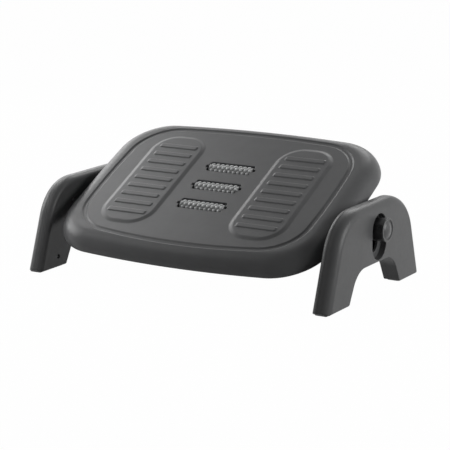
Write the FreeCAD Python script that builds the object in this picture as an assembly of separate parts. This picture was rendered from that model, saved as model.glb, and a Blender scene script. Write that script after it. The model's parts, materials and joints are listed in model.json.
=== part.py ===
import FreeCAD, Part
import math
import os

from FreeCAD import Vector

# A tilting under-desk footrest: a platform with two ribbed foot pads and three massage
# rollers, hung between two arched legs. Each leg has an upright slot, and a clamp knob in
# the slot sets the height. The platform tilts on the two pivot bolts.
#
# Sizes are millimetres and degrees. X runs across the footrest, Y from the user towards the
# back, Z up. The origin is on the floor under the middle of the whole footrest.
# The platform's own pieces are drawn flat, with their origin on the pivot axis, and then
# tilted. Pieces of the right side are drawn once and mirrored for the left.

# Stance
overall_width = 520.0
leg_thickness = 27.0
platform_side_gap = 3.5
pivot_y = 13.9
pivot_below_leg_top = 40.1
height_travel = 22.9
tilt_angle = 26.3
tilt_flattest = 0.0
tilt_steepest = 30.0

# Leg outline, seen from the side
leg_top_height = 136.0
leg_front_y = -149.7
leg_rear_y = 152.3
leg_front_lean = 19.7
leg_rear_lean = 17.7
leg_shoulder_radius = 74.0
arch_front_y = -80.3
arch_rear_y = 86.7
arch_height = 47.0
arch_lean = 28.8
arch_corner_radius = 40.0

# Leg shells
leg_wall = 3.0
leg_outer_edge_radius = 9.0
leg_inner_edge_radius = 8.7
leg_cover_depth = 9.0
seam_lip_height = 2.5
seam_lip_wall = 1.5
seam_lip_clearance = 0.15

# Rubber feet
foot_proud = 1.5
foot_recess = 1.2
foot_side_margin = 3.5
foot_end_margin = 6.0
foot_corner_radius = 3.0
foot_clearance = 0.1

# Height slot in the leg
pocket_radius = 23.0
pocket_depth = 9.5
pocket_wall = 2.5
ledge_thickness = 4.0
ledge_slot_radius = 13.0
cover_slot_radius = 10.05
slide_clearance = 0.15

# Leg screws, as places on the leg's side view
leg_screw_low_z = 17.7
leg_screw_high_below_top = 36.0
leg_screw_front_low_y = -100.5
leg_screw_rear_low_y = 107.5
leg_screw_front_high_y = -58.2
leg_screw_rear_high_y = 79.8
leg_screw_radius = 1.6
leg_screw_length = 14.0
leg_screw_head_radius = 3.3
leg_screw_head_height = 2.2
leg_screw_recess = 6.0
leg_post_radius = 5.0

# Pivot bolt and the pieces stacked on it
bolt_radius = 6.0
bolt_thread_radius = 5.0
bolt_end_gap = 1.5
bolt_head_flats = 17.0
bolt_head_height = 7.0
running_clearance = 0.06
face_clearance = 0.2
friction_washer_radius = 14.0
friction_washer_thickness = 2.0
spacer_hub_radius = 11.0
spacer_flange_radius = 16.0
spacer_flange_thickness = 4.5
bush_shoulder_radius = 16.0
bush_shoulder_thickness = 3.0
thrust_washer_radius = 17.0
thrust_washer_thickness = 1.6

# Tilt stop, between the spacer and the bracket
stop_tab_radius = 21.0
stop_tab_half_angle = 7.0
stop_block_inner_radius = 17.5
stop_block_angle = 12.0
stop_block_height = 6.5
stop_free_angle = 0.6

# Clamp knob
knob_facets = 9
knob_rest_turn = 4.6
knob_facet_round = 1.0
knob_radius = 17.8
knob_rim_reach = 13.7
knob_collar_length = 2.5
knob_cap_thickness = 3.0
knob_cap_edge_round = 1.0
knob_cap_spigot_gap = 1.0
knob_dome_radius = 14.5
knob_dome_height = 2.2
knob_insert_radius = 8.0
knob_insert_set_back = 1.0
knob_recess_radius = 11.0
knob_recess_depth = 5.0
fixed_fit_clearance = 0.03

# Platform outline
platform_near = -170.4
platform_far = 156.0
platform_near_corner = 81.3
platform_far_corner = 83.4
platform_near_bow = 1790.0
platform_far_bow = 2110.0
platform_side_bow = 3090.0
platform_top = 49.6
platform_depth = 28.4
platform_rim_radius = 27.6
platform_wall = 3.0

# Groove that runs round the tread
groove_half_width = 194.4
groove_near = -147.4
groove_far = 128.8
groove_corner = 68.0
groove_near_bow = 960.0
groove_far_bow = 1650.0
groove_side_bow = 1055.0
groove_width = 5.0
groove_depth = 1.6

# Foot pads and their ribs
pad_centre_x = 112.7
pad_centre_v = -6.0
pad_width = 90.3
pad_length = 218.5
pad_corner_radius = 36.0
pad_height = 1.8
pad_slope = 8.0
rib_count = 9
rib_pitch = 20.77
rib_centre_v = -4.4
rib_length = 69.0
rib_width = 10.0
rib_height = 1.3
rib_slope = 1.6

# Rollers
roller_count = 3
roller_pitch = 46.9
roller_centre_v = -6.4
roller_opening_length = 73.5
roller_opening_width = 19.5
roller_opening_corner = 3.0
roller_length = 72.0
roller_radius = 9.2
roller_proud = 2.3
axle_radius = 2.0
saddle_gap = 1.2
saddle_thickness = 4.6
saddle_half_width = 8.0
saddle_below_axle = 11.0
saddle_clearance = 0.1
saddle_mouth = 3.4
axle_notch_width = 5.0
axle_notch_end_gap = 0.6

# Bottom cover of the platform
cover_thickness = 3.0
cover_edge_clearance = 0.3
cover_rib_width = 2.5
cover_rib_height = 3.0
cover_rib_half_length = 172.0
cover_cross_rib_x = 90.0
cover_rib_near_v = -95.0
cover_rib_middle_v = -30.0
cover_rib_far_v = 82.0
cover_inner_wall_thickness = 2.5

# Platform screws
cover_screw_outer_x = 150.0
cover_screw_inner_x = 60.0
cover_screw_outer_near_v = -115.0
cover_screw_inner_near_v = -125.0
cover_screw_outer_far_v = 100.0
cover_screw_inner_far_v = 108.0
cover_screw_radius = 1.75
cover_screw_head_radius = 3.6
cover_screw_head_height = 2.2
cover_screw_grip = 12.0
platform_boss_wall = 3.0
screw_clearance = 0.05
screw_free_clearance = 0.3

# Pivot brackets under the platform
bracket_face_inset = 5.5
bracket_length = 90.0
bracket_flange_width = 40.0
bracket_flange_thickness = 5.0
bracket_ear_thickness = 6.0
bracket_ear_lobe = 22.0
bracket_ear_lobe_half_width = 27.0
bracket_boss_radius = 16.0
bracket_boss_length = 10.0
bracket_gusset_thickness = 4.0
bracket_gusset_v = 24.0
bracket_gusset_reach = 20.0
bracket_gusset_drop = 16.0
bracket_screw_inner_margin = 9.0
bracket_screw_outer_margin = 13.0
bracket_screw_v = 36.0
bracket_screw_radius = 2.0
bracket_screw_head_radius = 4.0
bracket_screw_head_height = 3.0
bracket_screw_grip = 14.0

# How closely the printed overall size follows curved surfaces
report_tolerance = 0.2

# Two places closer than this are the same place
same_place = 0.001

# How far a cutting solid runs past the face that it cuts, and how far joined solids overlap
cut_margin = 1.0

# Heights that follow from the leg's top
pivot_height = leg_top_height - pivot_below_leg_top
leg_screw_high_z = leg_top_height - leg_screw_high_below_top

# Places that follow from the sizes above, along X on the right side
outer_face_x = overall_width / 2
inner_face_x = outer_face_x - leg_thickness
seam_x = inner_face_x + leg_cover_depth
platform_half_width = inner_face_x - platform_side_gap
ledge_outer_x = outer_face_x - pocket_depth
ledge_inner_x = ledge_outer_x - ledge_thickness
bracket_face_x = platform_half_width - bracket_face_inset
spacer_start_x = bracket_face_x + friction_washer_thickness + face_clearance
spacer_end_x = inner_face_x - face_clearance
bush_end_x = ledge_outer_x - face_clearance
bush_shoulder_end_x = ledge_inner_x - face_clearance
thrust_washer_x = ledge_outer_x + face_clearance
knob_start_x = thrust_washer_x + thrust_washer_thickness + face_clearance
knob_rim_x = outer_face_x + knob_rim_reach
knob_body_end_x = knob_rim_x - knob_cap_thickness
knob_insert_end_x = knob_body_end_x - knob_recess_depth
bolt_end_x = knob_insert_end_x - bolt_end_gap

# Places that follow in the platform's own frame
platform_bottom = platform_top - platform_depth
cover_inside = platform_bottom + cover_thickness
tread_underside = platform_top - platform_wall
axle_height = platform_top + roller_proud - roller_radius
saddle_start_x = roller_opening_length / 2 + saddle_gap
saddle_end_x = saddle_start_x + saddle_thickness
bracket_flange_bottom = platform_bottom - bracket_flange_thickness


# Outlines and simple solids

def unit(vector):
    return vector / vector.Length


def rounded_wire(corners, radii):
    """Closed outline in the XY plane, with a round of its own radius at each corner."""
    pieces = []
    ends = []
    for index, corner in enumerate(corners):
        before = unit(corners[index - 1] - corner)
        after = unit(corners[(index + 1) % len(corners)] - corner)
        radius = radii[index]
        if radius <= 0:
            ends.append((corner, corner, None))
            continue
        half_angle = before.getAngle(after) / 2
        start = corner + before * (radius / math.tan(half_angle))
        end = corner + after * (radius / math.tan(half_angle))
        middle = corner + unit(before + after) * (radius / math.sin(half_angle) - radius)
        ends.append((start, end, middle))
    for index, (start, end, middle) in enumerate(ends):
        if middle is not None:
            pieces.append(Part.Arc(start, middle, end).toShape())
        following = ends[(index + 1) % len(ends)][0]
        if (following - end).Length > same_place:
            pieces.append(Part.makeLine(end, following))
    return Part.Wire(pieces)


def inset_outline(corners, radii, distance):
    """The same outline moved inwards: outer rounds get tighter and inner rounds wider."""
    moved = []
    moved_radii = []
    for index, corner in enumerate(corners):
        along_in = unit(corner - corners[index - 1])
        along_out = unit(corners[(index + 1) % len(corners)] - corner)
        inward_in = Vector(-along_in.y, along_in.x, 0)
        inward_out = Vector(-along_out.y, along_out.x, 0)
        shift = (inward_in + inward_out) / (1 + inward_in.dot(inward_out))
        moved.append(corner + shift * distance)
        turns_left = along_in.cross(along_out).z > 0
        if radii[index] <= 0:
            moved_radii.append(0)
        elif turns_left:
            moved_radii.append(radii[index] - distance)
        else:
            moved_radii.append(radii[index] + distance)
    return moved, moved_radii


def upright_prism(wire, low, high):
    face = Part.Face(wire)
    face.translate(Vector(0, 0, low))
    return face.extrude(Vector(0, 0, high - low))


def sideways_prism(wire, start_x, end_x):
    """A side view, drawn as (Y, Z), carried along X."""
    solid = upright_prism(wire, start_x, end_x)
    solid.rotate(Vector(0, 0, 0), Vector(1, 1, 1), 120)
    return solid


def rectangle_wire(length, width, radius, centre_x=0.0, centre_y=0.0):
    corners = [
        Vector(centre_x - length / 2, centre_y - width / 2, 0),
        Vector(centre_x + length / 2, centre_y - width / 2, 0),
        Vector(centre_x + length / 2, centre_y + width / 2, 0),
        Vector(centre_x - length / 2, centre_y + width / 2, 0),
    ]
    return rounded_wire(corners, [radius] * 4)


def slot_wire(radius, low_z, high_z):
    """An upright slot in the leg's side view, round at both ends."""
    low_left = Vector(pivot_y - radius, low_z, 0)
    low_right = Vector(pivot_y + radius, low_z, 0)
    high_left = Vector(pivot_y - radius, high_z, 0)
    high_right = Vector(pivot_y + radius, high_z, 0)
    pieces = [
        Part.makeLine(high_left, low_left),
        Part.Arc(low_left, Vector(pivot_y, low_z - radius, 0), low_right).toShape(),
        Part.makeLine(low_right, high_right),
        Part.Arc(high_right, Vector(pivot_y, high_z + radius, 0), high_left).toShape(),
    ]
    return Part.Wire(pieces)


def slot_prism(radius, start_x, end_x):
    return sideways_prism(slot_wire(radius, pivot_height - height_travel, pivot_height), start_x, end_x)


def disc(radius, start_x, end_x):
    """A round along X, centred on the origin of the side view."""
    return Part.makeCylinder(radius, end_x - start_x, Vector(start_x, 0, 0), Vector(1, 0, 0))


def disc_at(radius, start_x, end_x, place):
    solid = disc(radius, start_x, end_x)
    solid.translate(Vector(0, place[0], place[1]))
    return solid


def post(radius, low, high, x, v):
    return Part.makeCylinder(radius, high - low, Vector(x, v, low), Vector(0, 0, 1))


def block(x0, x1, y0, y1, z0, z1):
    return Part.makeBox(x1 - x0, y1 - y0, z1 - z0, Vector(x0, y0, z0))


def frustum(length, width, radius, slope, low, high, centre_x, centre_y):
    """A raised plateau whose sides slope in by the same width all round."""
    foot = rectangle_wire(length + slope, width + slope, radius + slope / 2, centre_x, centre_y)
    top = rectangle_wire(length - slope, width - slope, radius - slope / 2, centre_x, centre_y)
    foot.translate(Vector(0, 0, low))
    top.translate(Vector(0, 0, high))
    return Part.makeLoft([foot, top], True, True)


def ring_sector(inner, outer, start_x, end_x, start_angle, end_angle):
    """Part of a ring about X. Angles run from +Y towards +Z."""
    sweep = end_angle - start_angle
    sector = Part.makeCylinder(outer, end_x - start_x, Vector(0, 0, 0), Vector(0, 0, 1), sweep)
    sector = sector.cut(Part.makeCylinder(inner, end_x - start_x))
    sector.rotate(Vector(0, 0, 0), Vector(0, 0, 1), start_angle)
    sector.translate(Vector(0, 0, start_x))
    sector.rotate(Vector(0, 0, 0), Vector(1, 1, 1), 120)
    return sector


def on_pivot(solid):
    """Carries a piece drawn about the origin to the pivot axis, with no tilt."""
    solid.translate(Vector(0, pivot_y, pivot_height))
    return solid


def on_platform(solid):
    """Tilts a piece of the platform and carries it to the pivot axis."""
    solid.rotate(Vector(0, 0, 0), Vector(1, 0, 0), tilt_angle)
    return on_pivot(solid)


# Leg

def leg_outline():
    """The leg's side view, from the front foot round the arch to the shoulders."""
    bottom = foot_proud
    front_shift = math.tan(math.radians(leg_front_lean))
    rear_shift = math.tan(math.radians(leg_rear_lean))
    arch_shift = math.tan(math.radians(arch_lean))
    corners = [
        Vector(leg_front_y + front_shift * bottom, bottom, 0),
        Vector(arch_front_y + arch_shift * bottom, bottom, 0),
        Vector(arch_front_y + arch_shift * arch_height, arch_height, 0),
        Vector(arch_rear_y - arch_shift * arch_height, arch_height, 0),
        Vector(arch_rear_y - arch_shift * bottom, bottom, 0),
        Vector(leg_rear_y - rear_shift * bottom, bottom, 0),
        Vector(leg_rear_y - rear_shift * leg_top_height, leg_top_height, 0),
        Vector(leg_front_y + front_shift * leg_top_height, leg_top_height, 0),
    ]
    radii = [0, 0, arch_corner_radius, arch_corner_radius, 0, 0, leg_shoulder_radius, leg_shoulder_radius]
    return corners, radii


def shoulder_edges(solid, x):
    """Edges of the side at x that run up the front, over the shoulders and down the back."""
    found = []
    for edge in solid.Edges:
        box = edge.BoundBox
        middle = edge.valueAt((edge.FirstParameter + edge.LastParameter) / 2)
        on_side = abs(box.XMin - x) < same_place and abs(box.XMax - x) < same_place
        over_arch = middle.z > arch_height + leg_wall + cut_margin
        outside_arch = middle.y < arch_front_y - leg_wall or middle.y > arch_rear_y + leg_wall
        level = box.ZMax - box.ZMin < same_place and middle.z < arch_height
        if on_side and (over_arch or outside_arch) and not level:
            found.append(edge)
    return found


def leg_block(inset, start_x, end_x, round_x, round_radius):
    """A slab with the leg's outline, rounded along the shoulders on the side at round_x."""
    corners, radii = inset_outline(*leg_outline(), inset)
    slab = sideways_prism(rounded_wire(corners, radii), start_x, end_x)
    return slab.makeFillet(round_radius, shoulder_edges(slab, round_x))


def foot_spans():
    """Start and end of the front and the rear rubber foot along Y."""
    front = (leg_front_y + foot_end_margin, arch_front_y - foot_end_margin / 2)
    rear = (arch_rear_y + foot_end_margin / 2, leg_rear_y - foot_end_margin)
    return front, rear


def foot_block(span, growth, low, high):
    length = outer_face_x - inner_face_x - 2 * foot_side_margin + 2 * growth
    width = span[1] - span[0] + 2 * growth
    centre_x = (inner_face_x + outer_face_x) / 2
    wire = rectangle_wire(length, width, foot_corner_radius, centre_x, (span[0] + span[1]) / 2)
    return upright_prism(wire, low, high)


def cut_foot_recesses(solid):
    for span in foot_spans():
        solid = solid.cut(foot_block(span, foot_clearance, foot_proud - cut_margin, foot_proud + foot_recess))
    return solid


def leg_screw_places():
    return [
        (leg_screw_front_low_y, leg_screw_low_z),
        (leg_screw_rear_low_y, leg_screw_low_z),
        (leg_screw_front_high_y, leg_screw_high_z),
        (leg_screw_rear_high_y, leg_screw_high_z),
    ]


def leg_screw_seat_x():
    return inner_face_x + leg_screw_recess


def make_leg_shell():
    cavity_end_x = outer_face_x - leg_wall
    whole = leg_block(0, seam_x, outer_face_x, outer_face_x, leg_outer_edge_radius)
    cavity = leg_block(leg_wall, seam_x, cavity_end_x, cavity_end_x, leg_outer_edge_radius - leg_wall)
    shell = whole.cut(cavity)
    tub = slot_prism(pocket_radius + pocket_wall, ledge_inner_x, outer_face_x).common(whole)
    shell = shell.fuse(tub)
    for place in leg_screw_places():
        shell = shell.fuse(disc_at(leg_post_radius, seam_x, cavity_end_x, place))
    pocket = slot_prism(pocket_radius, ledge_outer_x, outer_face_x + cut_margin)
    slot = slot_prism(ledge_slot_radius, ledge_inner_x - cut_margin, ledge_outer_x + cut_margin)
    shell = shell.cut(pocket).cut(slot)
    hole_radius = leg_screw_radius + screw_clearance
    hole_end_x = leg_screw_seat_x() + leg_screw_length + cut_margin
    for place in leg_screw_places():
        shell = shell.cut(disc_at(hole_radius, seam_x - cut_margin, hole_end_x, place))
    return cut_foot_recesses(shell).removeSplitter()


def make_leg_cover():
    plate_end_x = inner_face_x + leg_wall
    whole = leg_block(0, inner_face_x, seam_x, inner_face_x, leg_inner_edge_radius)
    cavity = leg_block(leg_wall, plate_end_x, seam_x, plate_end_x, leg_inner_edge_radius - leg_wall)
    cover = whole.cut(cavity)
    lip_inset = leg_wall + seam_lip_clearance
    lip_outer = inset_outline(*leg_outline(), lip_inset)
    lip_inner = inset_outline(*leg_outline(), lip_inset + seam_lip_wall)
    bridge_outer = inset_outline(*leg_outline(), leg_wall / 2)
    lip_end_x = seam_x + seam_lip_height
    lip_hole = sideways_prism(rounded_wire(*lip_inner), plate_end_x, lip_end_x)
    lip = sideways_prism(rounded_wire(*lip_outer), seam_x - leg_wall, lip_end_x)
    bridge = sideways_prism(rounded_wire(*bridge_outer), seam_x - leg_wall, seam_x)
    cover = cover.fuse(bridge.cut(lip_hole)).fuse(lip.cut(lip_hole))
    for place in leg_screw_places():
        cover = cover.fuse(disc_at(leg_post_radius, inner_face_x, seam_x, place))
    head_radius = leg_screw_head_radius + screw_free_clearance
    free_radius = leg_screw_radius + screw_free_clearance
    for place in leg_screw_places():
        cover = cover.cut(disc_at(head_radius, inner_face_x - cut_margin, leg_screw_seat_x(), place))
        cover = cover.cut(disc_at(free_radius, inner_face_x, seam_x + cut_margin, place))
    cover = cover.cut(slot_prism(cover_slot_radius, inner_face_x - cut_margin, plate_end_x + cut_margin))
    return cut_foot_recesses(cover).removeSplitter()


def make_leg_screws():
    seat_x = leg_screw_seat_x()
    screws = []
    for place in leg_screw_places():
        head = disc_at(leg_screw_head_radius, seat_x - leg_screw_head_height, seat_x, place)
        shank_start_x = seat_x - leg_screw_head_height / 2
        shank = disc_at(leg_screw_radius, shank_start_x, seat_x + leg_screw_length, place)
        screws.append(head.fuse(shank))
    return Part.makeCompound(screws)


def make_foot(span):
    return foot_block(span, 0, 0, foot_proud + foot_recess)


# Pieces on the pivot bolt

def make_pivot_bolt():
    head_start_x = bracket_face_x - bracket_boss_length - face_clearance - bolt_head_height
    corner_radius = bolt_head_flats / 2 / math.cos(math.radians(30))
    corners = []
    for side in range(6):
        angle = math.radians(60 * side)
        corners.append(Vector(corner_radius * math.cos(angle), corner_radius * math.sin(angle), 0))
    head = sideways_prism(rounded_wire(corners, [0] * 6), head_start_x, head_start_x + bolt_head_height)
    shank = disc(bolt_radius, head_start_x + bolt_head_height / 2, bush_end_x)
    thread = disc(bolt_thread_radius, bush_end_x - cut_margin, bolt_end_x)
    return on_pivot(head.fuse(shank).fuse(thread).removeSplitter())


def make_friction_washer():
    end_x = bracket_face_x + friction_washer_thickness
    washer = disc(friction_washer_radius, bracket_face_x, end_x)
    washer = washer.cut(disc(bolt_radius + running_clearance, bracket_face_x, end_x))
    return on_platform(washer)


def make_pivot_spacer():
    flange_x = spacer_end_x - spacer_flange_thickness
    spacer = disc(spacer_hub_radius, spacer_start_x, spacer_end_x)
    spacer = spacer.fuse(disc(spacer_flange_radius, flange_x, spacer_end_x))
    tab = ring_sector(
        spacer_hub_radius, stop_tab_radius, flange_x, spacer_end_x,
        -90 - stop_tab_half_angle, -90 + stop_tab_half_angle,
    )
    spacer = spacer.fuse(tab)
    spacer = spacer.cut(disc(bolt_radius + running_clearance, spacer_start_x, spacer_end_x))
    return on_pivot(spacer.removeSplitter())


def make_guide_bush():
    shoulder_x = bush_shoulder_end_x - bush_shoulder_thickness
    bush = disc(cover_slot_radius - slide_clearance, spacer_end_x, shoulder_x)
    bush = bush.fuse(disc(bush_shoulder_radius, shoulder_x, bush_shoulder_end_x))
    bush = bush.fuse(disc(ledge_slot_radius - slide_clearance, bush_shoulder_end_x, bush_end_x))
    bush = bush.cut(disc(bolt_radius + running_clearance, spacer_end_x, bush_end_x))
    return on_pivot(bush.removeSplitter())


def make_thrust_washer():
    end_x = thrust_washer_x + thrust_washer_thickness
    washer = disc(thrust_washer_radius, thrust_washer_x, end_x)
    washer = washer.cut(disc(bolt_thread_radius + running_clearance, thrust_washer_x, end_x))
    return on_pivot(washer)


# Clamp knob

def make_knob_body():
    corners = []
    for side in range(knob_facets):
        angle = math.radians(360 * (side + 0.5) / knob_facets + knob_rest_turn)
        corners.append(Vector(knob_radius * math.cos(angle), knob_radius * math.sin(angle), 0))
    outline = rounded_wire(corners, [knob_facet_round] * knob_facets)
    grip = sideways_prism(outline, knob_start_x, knob_body_end_x)
    knob = grip.fuse(disc(knob_radius, knob_start_x, knob_start_x + knob_collar_length))
    knob = knob.cut(disc(knob_insert_radius + fixed_fit_clearance, knob_start_x, knob_body_end_x))
    knob = knob.cut(disc(knob_recess_radius, knob_insert_end_x, knob_body_end_x))
    return on_pivot(knob.removeSplitter())


def make_knob_insert():
    start_x = knob_start_x + knob_insert_set_back
    insert = disc(knob_insert_radius, start_x, knob_insert_end_x)
    insert = insert.cut(disc(bolt_thread_radius + running_clearance, start_x, knob_insert_end_x))
    return on_pivot(insert)


def make_knob_cap():
    plate = disc(knob_radius, knob_body_end_x, knob_rim_x)
    rim = [edge for edge in plate.Edges if abs(edge.BoundBox.XMin - knob_rim_x) < same_place]
    plate = plate.makeFillet(knob_cap_edge_round, rim)
    spigot_radius = knob_recess_radius - fixed_fit_clearance
    spigot = disc(spigot_radius, knob_insert_end_x + knob_cap_spigot_gap, knob_body_end_x + cut_margin)
    sphere_radius = (knob_dome_radius ** 2 + knob_dome_height ** 2) / (2 * knob_dome_height)
    centre_x = knob_rim_x + knob_dome_height - sphere_radius
    ball = Part.makeSphere(sphere_radius, Vector(centre_x, 0, 0))
    dome_end_x = knob_rim_x + knob_dome_height
    dome = ball.common(disc(knob_dome_radius, knob_rim_x - cut_margin, dome_end_x + cut_margin))
    return on_pivot(plate.fuse(spigot).fuse(dome).removeSplitter())


# Platform

def bowed_wire(half_width, near, far, near_corner, far_corner, near_bow, far_bow, side_bow):
    """A rectangle with gently bowed sides and round corners, as eight tangent arcs."""
    near_centre = Vector(0, near + near_bow, 0)
    far_centre = Vector(0, far - far_bow, 0)
    side_centre = Vector(half_width - side_bow, (near + far) / 2, 0)

    def corner_centre(centre, bow, radius, towards_far):
        reach = bow - radius
        side_reach = side_bow - radius
        between = side_centre - centre
        along = (reach ** 2 - side_reach ** 2 + between.Length ** 2) / (2 * between.Length)
        across = math.sqrt(reach ** 2 - along ** 2)
        direction = unit(between)
        normal = Vector(-direction.y, direction.x, 0)
        first = centre + direction * along + normal * across
        second = centre + direction * along - normal * across
        right = [point for point in (first, second) if point.x > 0]
        right.sort(key=lambda point: point.y, reverse=towards_far)
        return right[0]

    def touch(centre, bow, corner):
        return centre + unit(corner - centre) * bow

    def mirrored(point):
        return Vector(-point.x, point.y, 0)

    near_round = corner_centre(near_centre, near_bow, near_corner, False)
    far_round = corner_centre(far_centre, far_bow, far_corner, True)
    near_touch = touch(near_centre, near_bow, near_round)
    near_side = touch(side_centre, side_bow, near_round)
    far_side = touch(side_centre, side_bow, far_round)
    far_touch = touch(far_centre, far_bow, far_round)
    near_middle = near_round + unit(near_touch + near_side - near_round * 2) * near_corner
    far_middle = far_round + unit(far_touch + far_side - far_round * 2) * far_corner
    side_middle = Vector(half_width, (near + far) / 2, 0)
    right_side = [
        (near_touch, near_middle, near_side),
        (near_side, side_middle, far_side),
        (far_side, far_middle, far_touch),
    ]
    arcs = [Part.Arc(mirrored(near_touch), Vector(0, near, 0), near_touch).toShape()]
    arcs += [Part.Arc(*points).toShape() for points in right_side]
    arcs.append(Part.Arc(far_touch, Vector(0, far, 0), mirrored(far_touch)).toShape())
    for start, middle, end in reversed(right_side):
        arcs.append(Part.Arc(mirrored(end), mirrored(middle), mirrored(start)).toShape())
    return Part.Wire(arcs)


def platform_wire(inset):
    return bowed_wire(
        platform_half_width - inset, platform_near + inset, platform_far - inset,
        platform_near_corner - inset, platform_far_corner - inset,
        platform_near_bow - inset, platform_far_bow - inset, platform_side_bow - inset,
    )


def groove_wire(inset):
    return bowed_wire(
        groove_half_width - inset, groove_near + inset, groove_far - inset,
        groove_corner - inset, groove_corner - inset,
        groove_near_bow - inset, groove_far_bow - inset, groove_side_bow - inset,
    )


def domed_slab(inset, low, high, rim_radius):
    """A slab with the platform's outline and a large round along its upper edge."""
    slab = upright_prism(platform_wire(inset), low, high)
    upper = [edge for edge in slab.Edges if edge.BoundBox.ZMin > high - same_place]
    return slab.makeFillet(rim_radius, upper)


def roller_places():
    first = roller_centre_v - roller_pitch * (roller_count - 1) / 2
    return [first + roller_pitch * index for index in range(roller_count)]


def cover_screw_places():
    places = []
    for side in (-1, 1):
        places.append((side * cover_screw_outer_x, cover_screw_outer_near_v))
        places.append((side * cover_screw_inner_x, cover_screw_inner_near_v))
        places.append((side * cover_screw_outer_x, cover_screw_outer_far_v))
        places.append((side * cover_screw_inner_x, cover_screw_inner_far_v))
    return places


def bracket_screw_places(side):
    inner = bracket_face_x - bracket_flange_width + bracket_screw_inner_margin
    outer = bracket_face_x - bracket_screw_outer_margin
    return [(side * x, v) for x in (inner, outer) for v in (-bracket_screw_v, bracket_screw_v)]


def add_bosses(tread, inside, places, radius, grip):
    for x, v in places:
        boss = post(radius + platform_boss_wall, cover_inside, platform_top, x, v).common(inside)
        hole = post(radius + screw_clearance, cover_inside - cut_margin, cover_inside + grip, x, v)
        tread = tread.fuse(boss).cut(hole)
    return tread


def groove_solid():
    high = platform_top + cut_margin
    outer = upright_prism(groove_wire(-groove_width / 2), platform_top - groove_depth, high)
    return outer.cut(upright_prism(groove_wire(groove_width / 2), platform_bottom, high))


def make_pad(centre_x):
    """A raised foot pad with a ladder of ribs across it."""
    pad_top = platform_top + pad_height
    pad = frustum(
        pad_width, pad_length, pad_corner_radius, pad_slope, platform_top, pad_top, centre_x, pad_centre_v
    )
    first_v = rib_centre_v - rib_pitch * (rib_count - 1) / 2
    for row in range(rib_count):
        rib = frustum(
            rib_length, rib_width, rib_width / 2 - rib_slope, rib_slope, pad_top, pad_top + rib_height,
            centre_x, first_v + rib_pitch * row,
        )
        pad = pad.fuse(rib)
    return pad


def make_platform_tread():
    body = domed_slab(0, platform_bottom, platform_top, platform_rim_radius)
    hollow = domed_slab(
        platform_wall, platform_bottom, tread_underside, platform_rim_radius - platform_wall
    )
    tread = body.cut(hollow)
    tread = tread.cut(groove_solid())
    for side in (-1, 1):
        tread = tread.fuse(make_pad(side * pad_centre_x))
    for centre_v in roller_places():
        wire = rectangle_wire(
            roller_opening_length, roller_opening_width, roller_opening_corner, 0, centre_v
        )
        tread = tread.cut(upright_prism(wire, tread_underside - cut_margin, platform_top + cut_margin))
        saddle = make_saddle(centre_v)
        tread = tread.fuse(saddle).fuse(saddle.mirror(Vector(0, 0, 0), Vector(1, 0, 0)))
        tread = tread.cut(axle_notch(centre_v))
    tread = add_bosses(tread, body, cover_screw_places(), cover_screw_radius, cover_screw_grip)
    for side in (-1, 1):
        tread = add_bosses(tread, body, bracket_screw_places(side), bracket_screw_radius, bracket_screw_grip)
    return on_platform(tread.removeSplitter())


def make_saddle(centre_v):
    """A block under the tread that the axle's end lies in. The axle snaps in through the
    narrow mouth above it, and a post of the bottom cover fills the slot below it."""
    low = axle_height - saddle_below_axle
    near_v = centre_v - saddle_half_width
    far_v = centre_v + saddle_half_width
    saddle = block(saddle_start_x, saddle_end_x, near_v, far_v, low, tread_underside)
    slot_radius = axle_radius + running_clearance
    saddle = saddle.cut(disc_at(slot_radius, saddle_start_x, saddle_end_x, (centre_v, axle_height)))
    saddle = saddle.cut(upright_slot(centre_v, slot_radius, low, axle_height))
    return saddle.cut(upright_slot(centre_v, saddle_mouth / 2, axle_height, tread_underside))


def upright_slot(centre_v, half_width, low, high):
    """What is cut from a saddle so that the axle can pass."""
    return block(saddle_start_x, saddle_end_x, centre_v - half_width, centre_v + half_width, low, high)


def axle_notch(centre_v):
    """A notch in the tread at both ends of an opening, over the saddles' mouths."""
    half = axle_notch_width / 2
    end_x = saddle_end_x - axle_notch_end_gap
    return block(-end_x, end_x, centre_v - half, centre_v + half, tread_underside, platform_top + cut_margin)


def crosswise_wall(v, thickness, low, high):
    """A wall of the bottom cover that runs from side to side."""
    reach = cover_rib_half_length
    return block(-reach, reach, v - thickness / 2, v + thickness / 2, low, high)


def make_bottom_cover():
    edge_inset = platform_wall + cover_edge_clearance
    cover = upright_prism(platform_wire(edge_inset), platform_bottom, cover_inside)
    rib_low = platform_bottom - cover_rib_height
    for v in (cover_rib_near_v, cover_rib_middle_v, cover_rib_far_v):
        cover = cover.fuse(crosswise_wall(v, cover_rib_width, rib_low, platform_bottom))
    half_rib = cover_rib_width / 2
    for x in (-cover_cross_rib_x, 0, cover_cross_rib_x):
        rib = block(x - half_rib, x + half_rib, cover_rib_near_v, cover_rib_far_v, rib_low, platform_bottom)
        cover = cover.fuse(rib)
    for v in (cover_rib_near_v, cover_rib_far_v):
        cover = cover.fuse(crosswise_wall(v, cover_inner_wall_thickness, cover_inside, tread_underside))
    half_post = axle_radius + running_clearance - saddle_clearance
    post_top = axle_height - axle_radius - saddle_clearance
    for centre_v in roller_places():
        for x0 in (saddle_start_x, -saddle_end_x):
            x1 = x0 + saddle_thickness
            axle_post = block(x0, x1, centre_v - half_post, centre_v + half_post, cover_inside, post_top)
            cover = cover.fuse(axle_post)
    places = [(place, cover_screw_radius) for place in cover_screw_places()]
    for side in (-1, 1):
        places += [(place, bracket_screw_radius) for place in bracket_screw_places(side)]
    for (x, v), radius in places:
        cover = cover.cut(post(radius + screw_free_clearance, rib_low, cover_inside + cut_margin, x, v))
    return on_platform(cover.removeSplitter())


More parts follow.
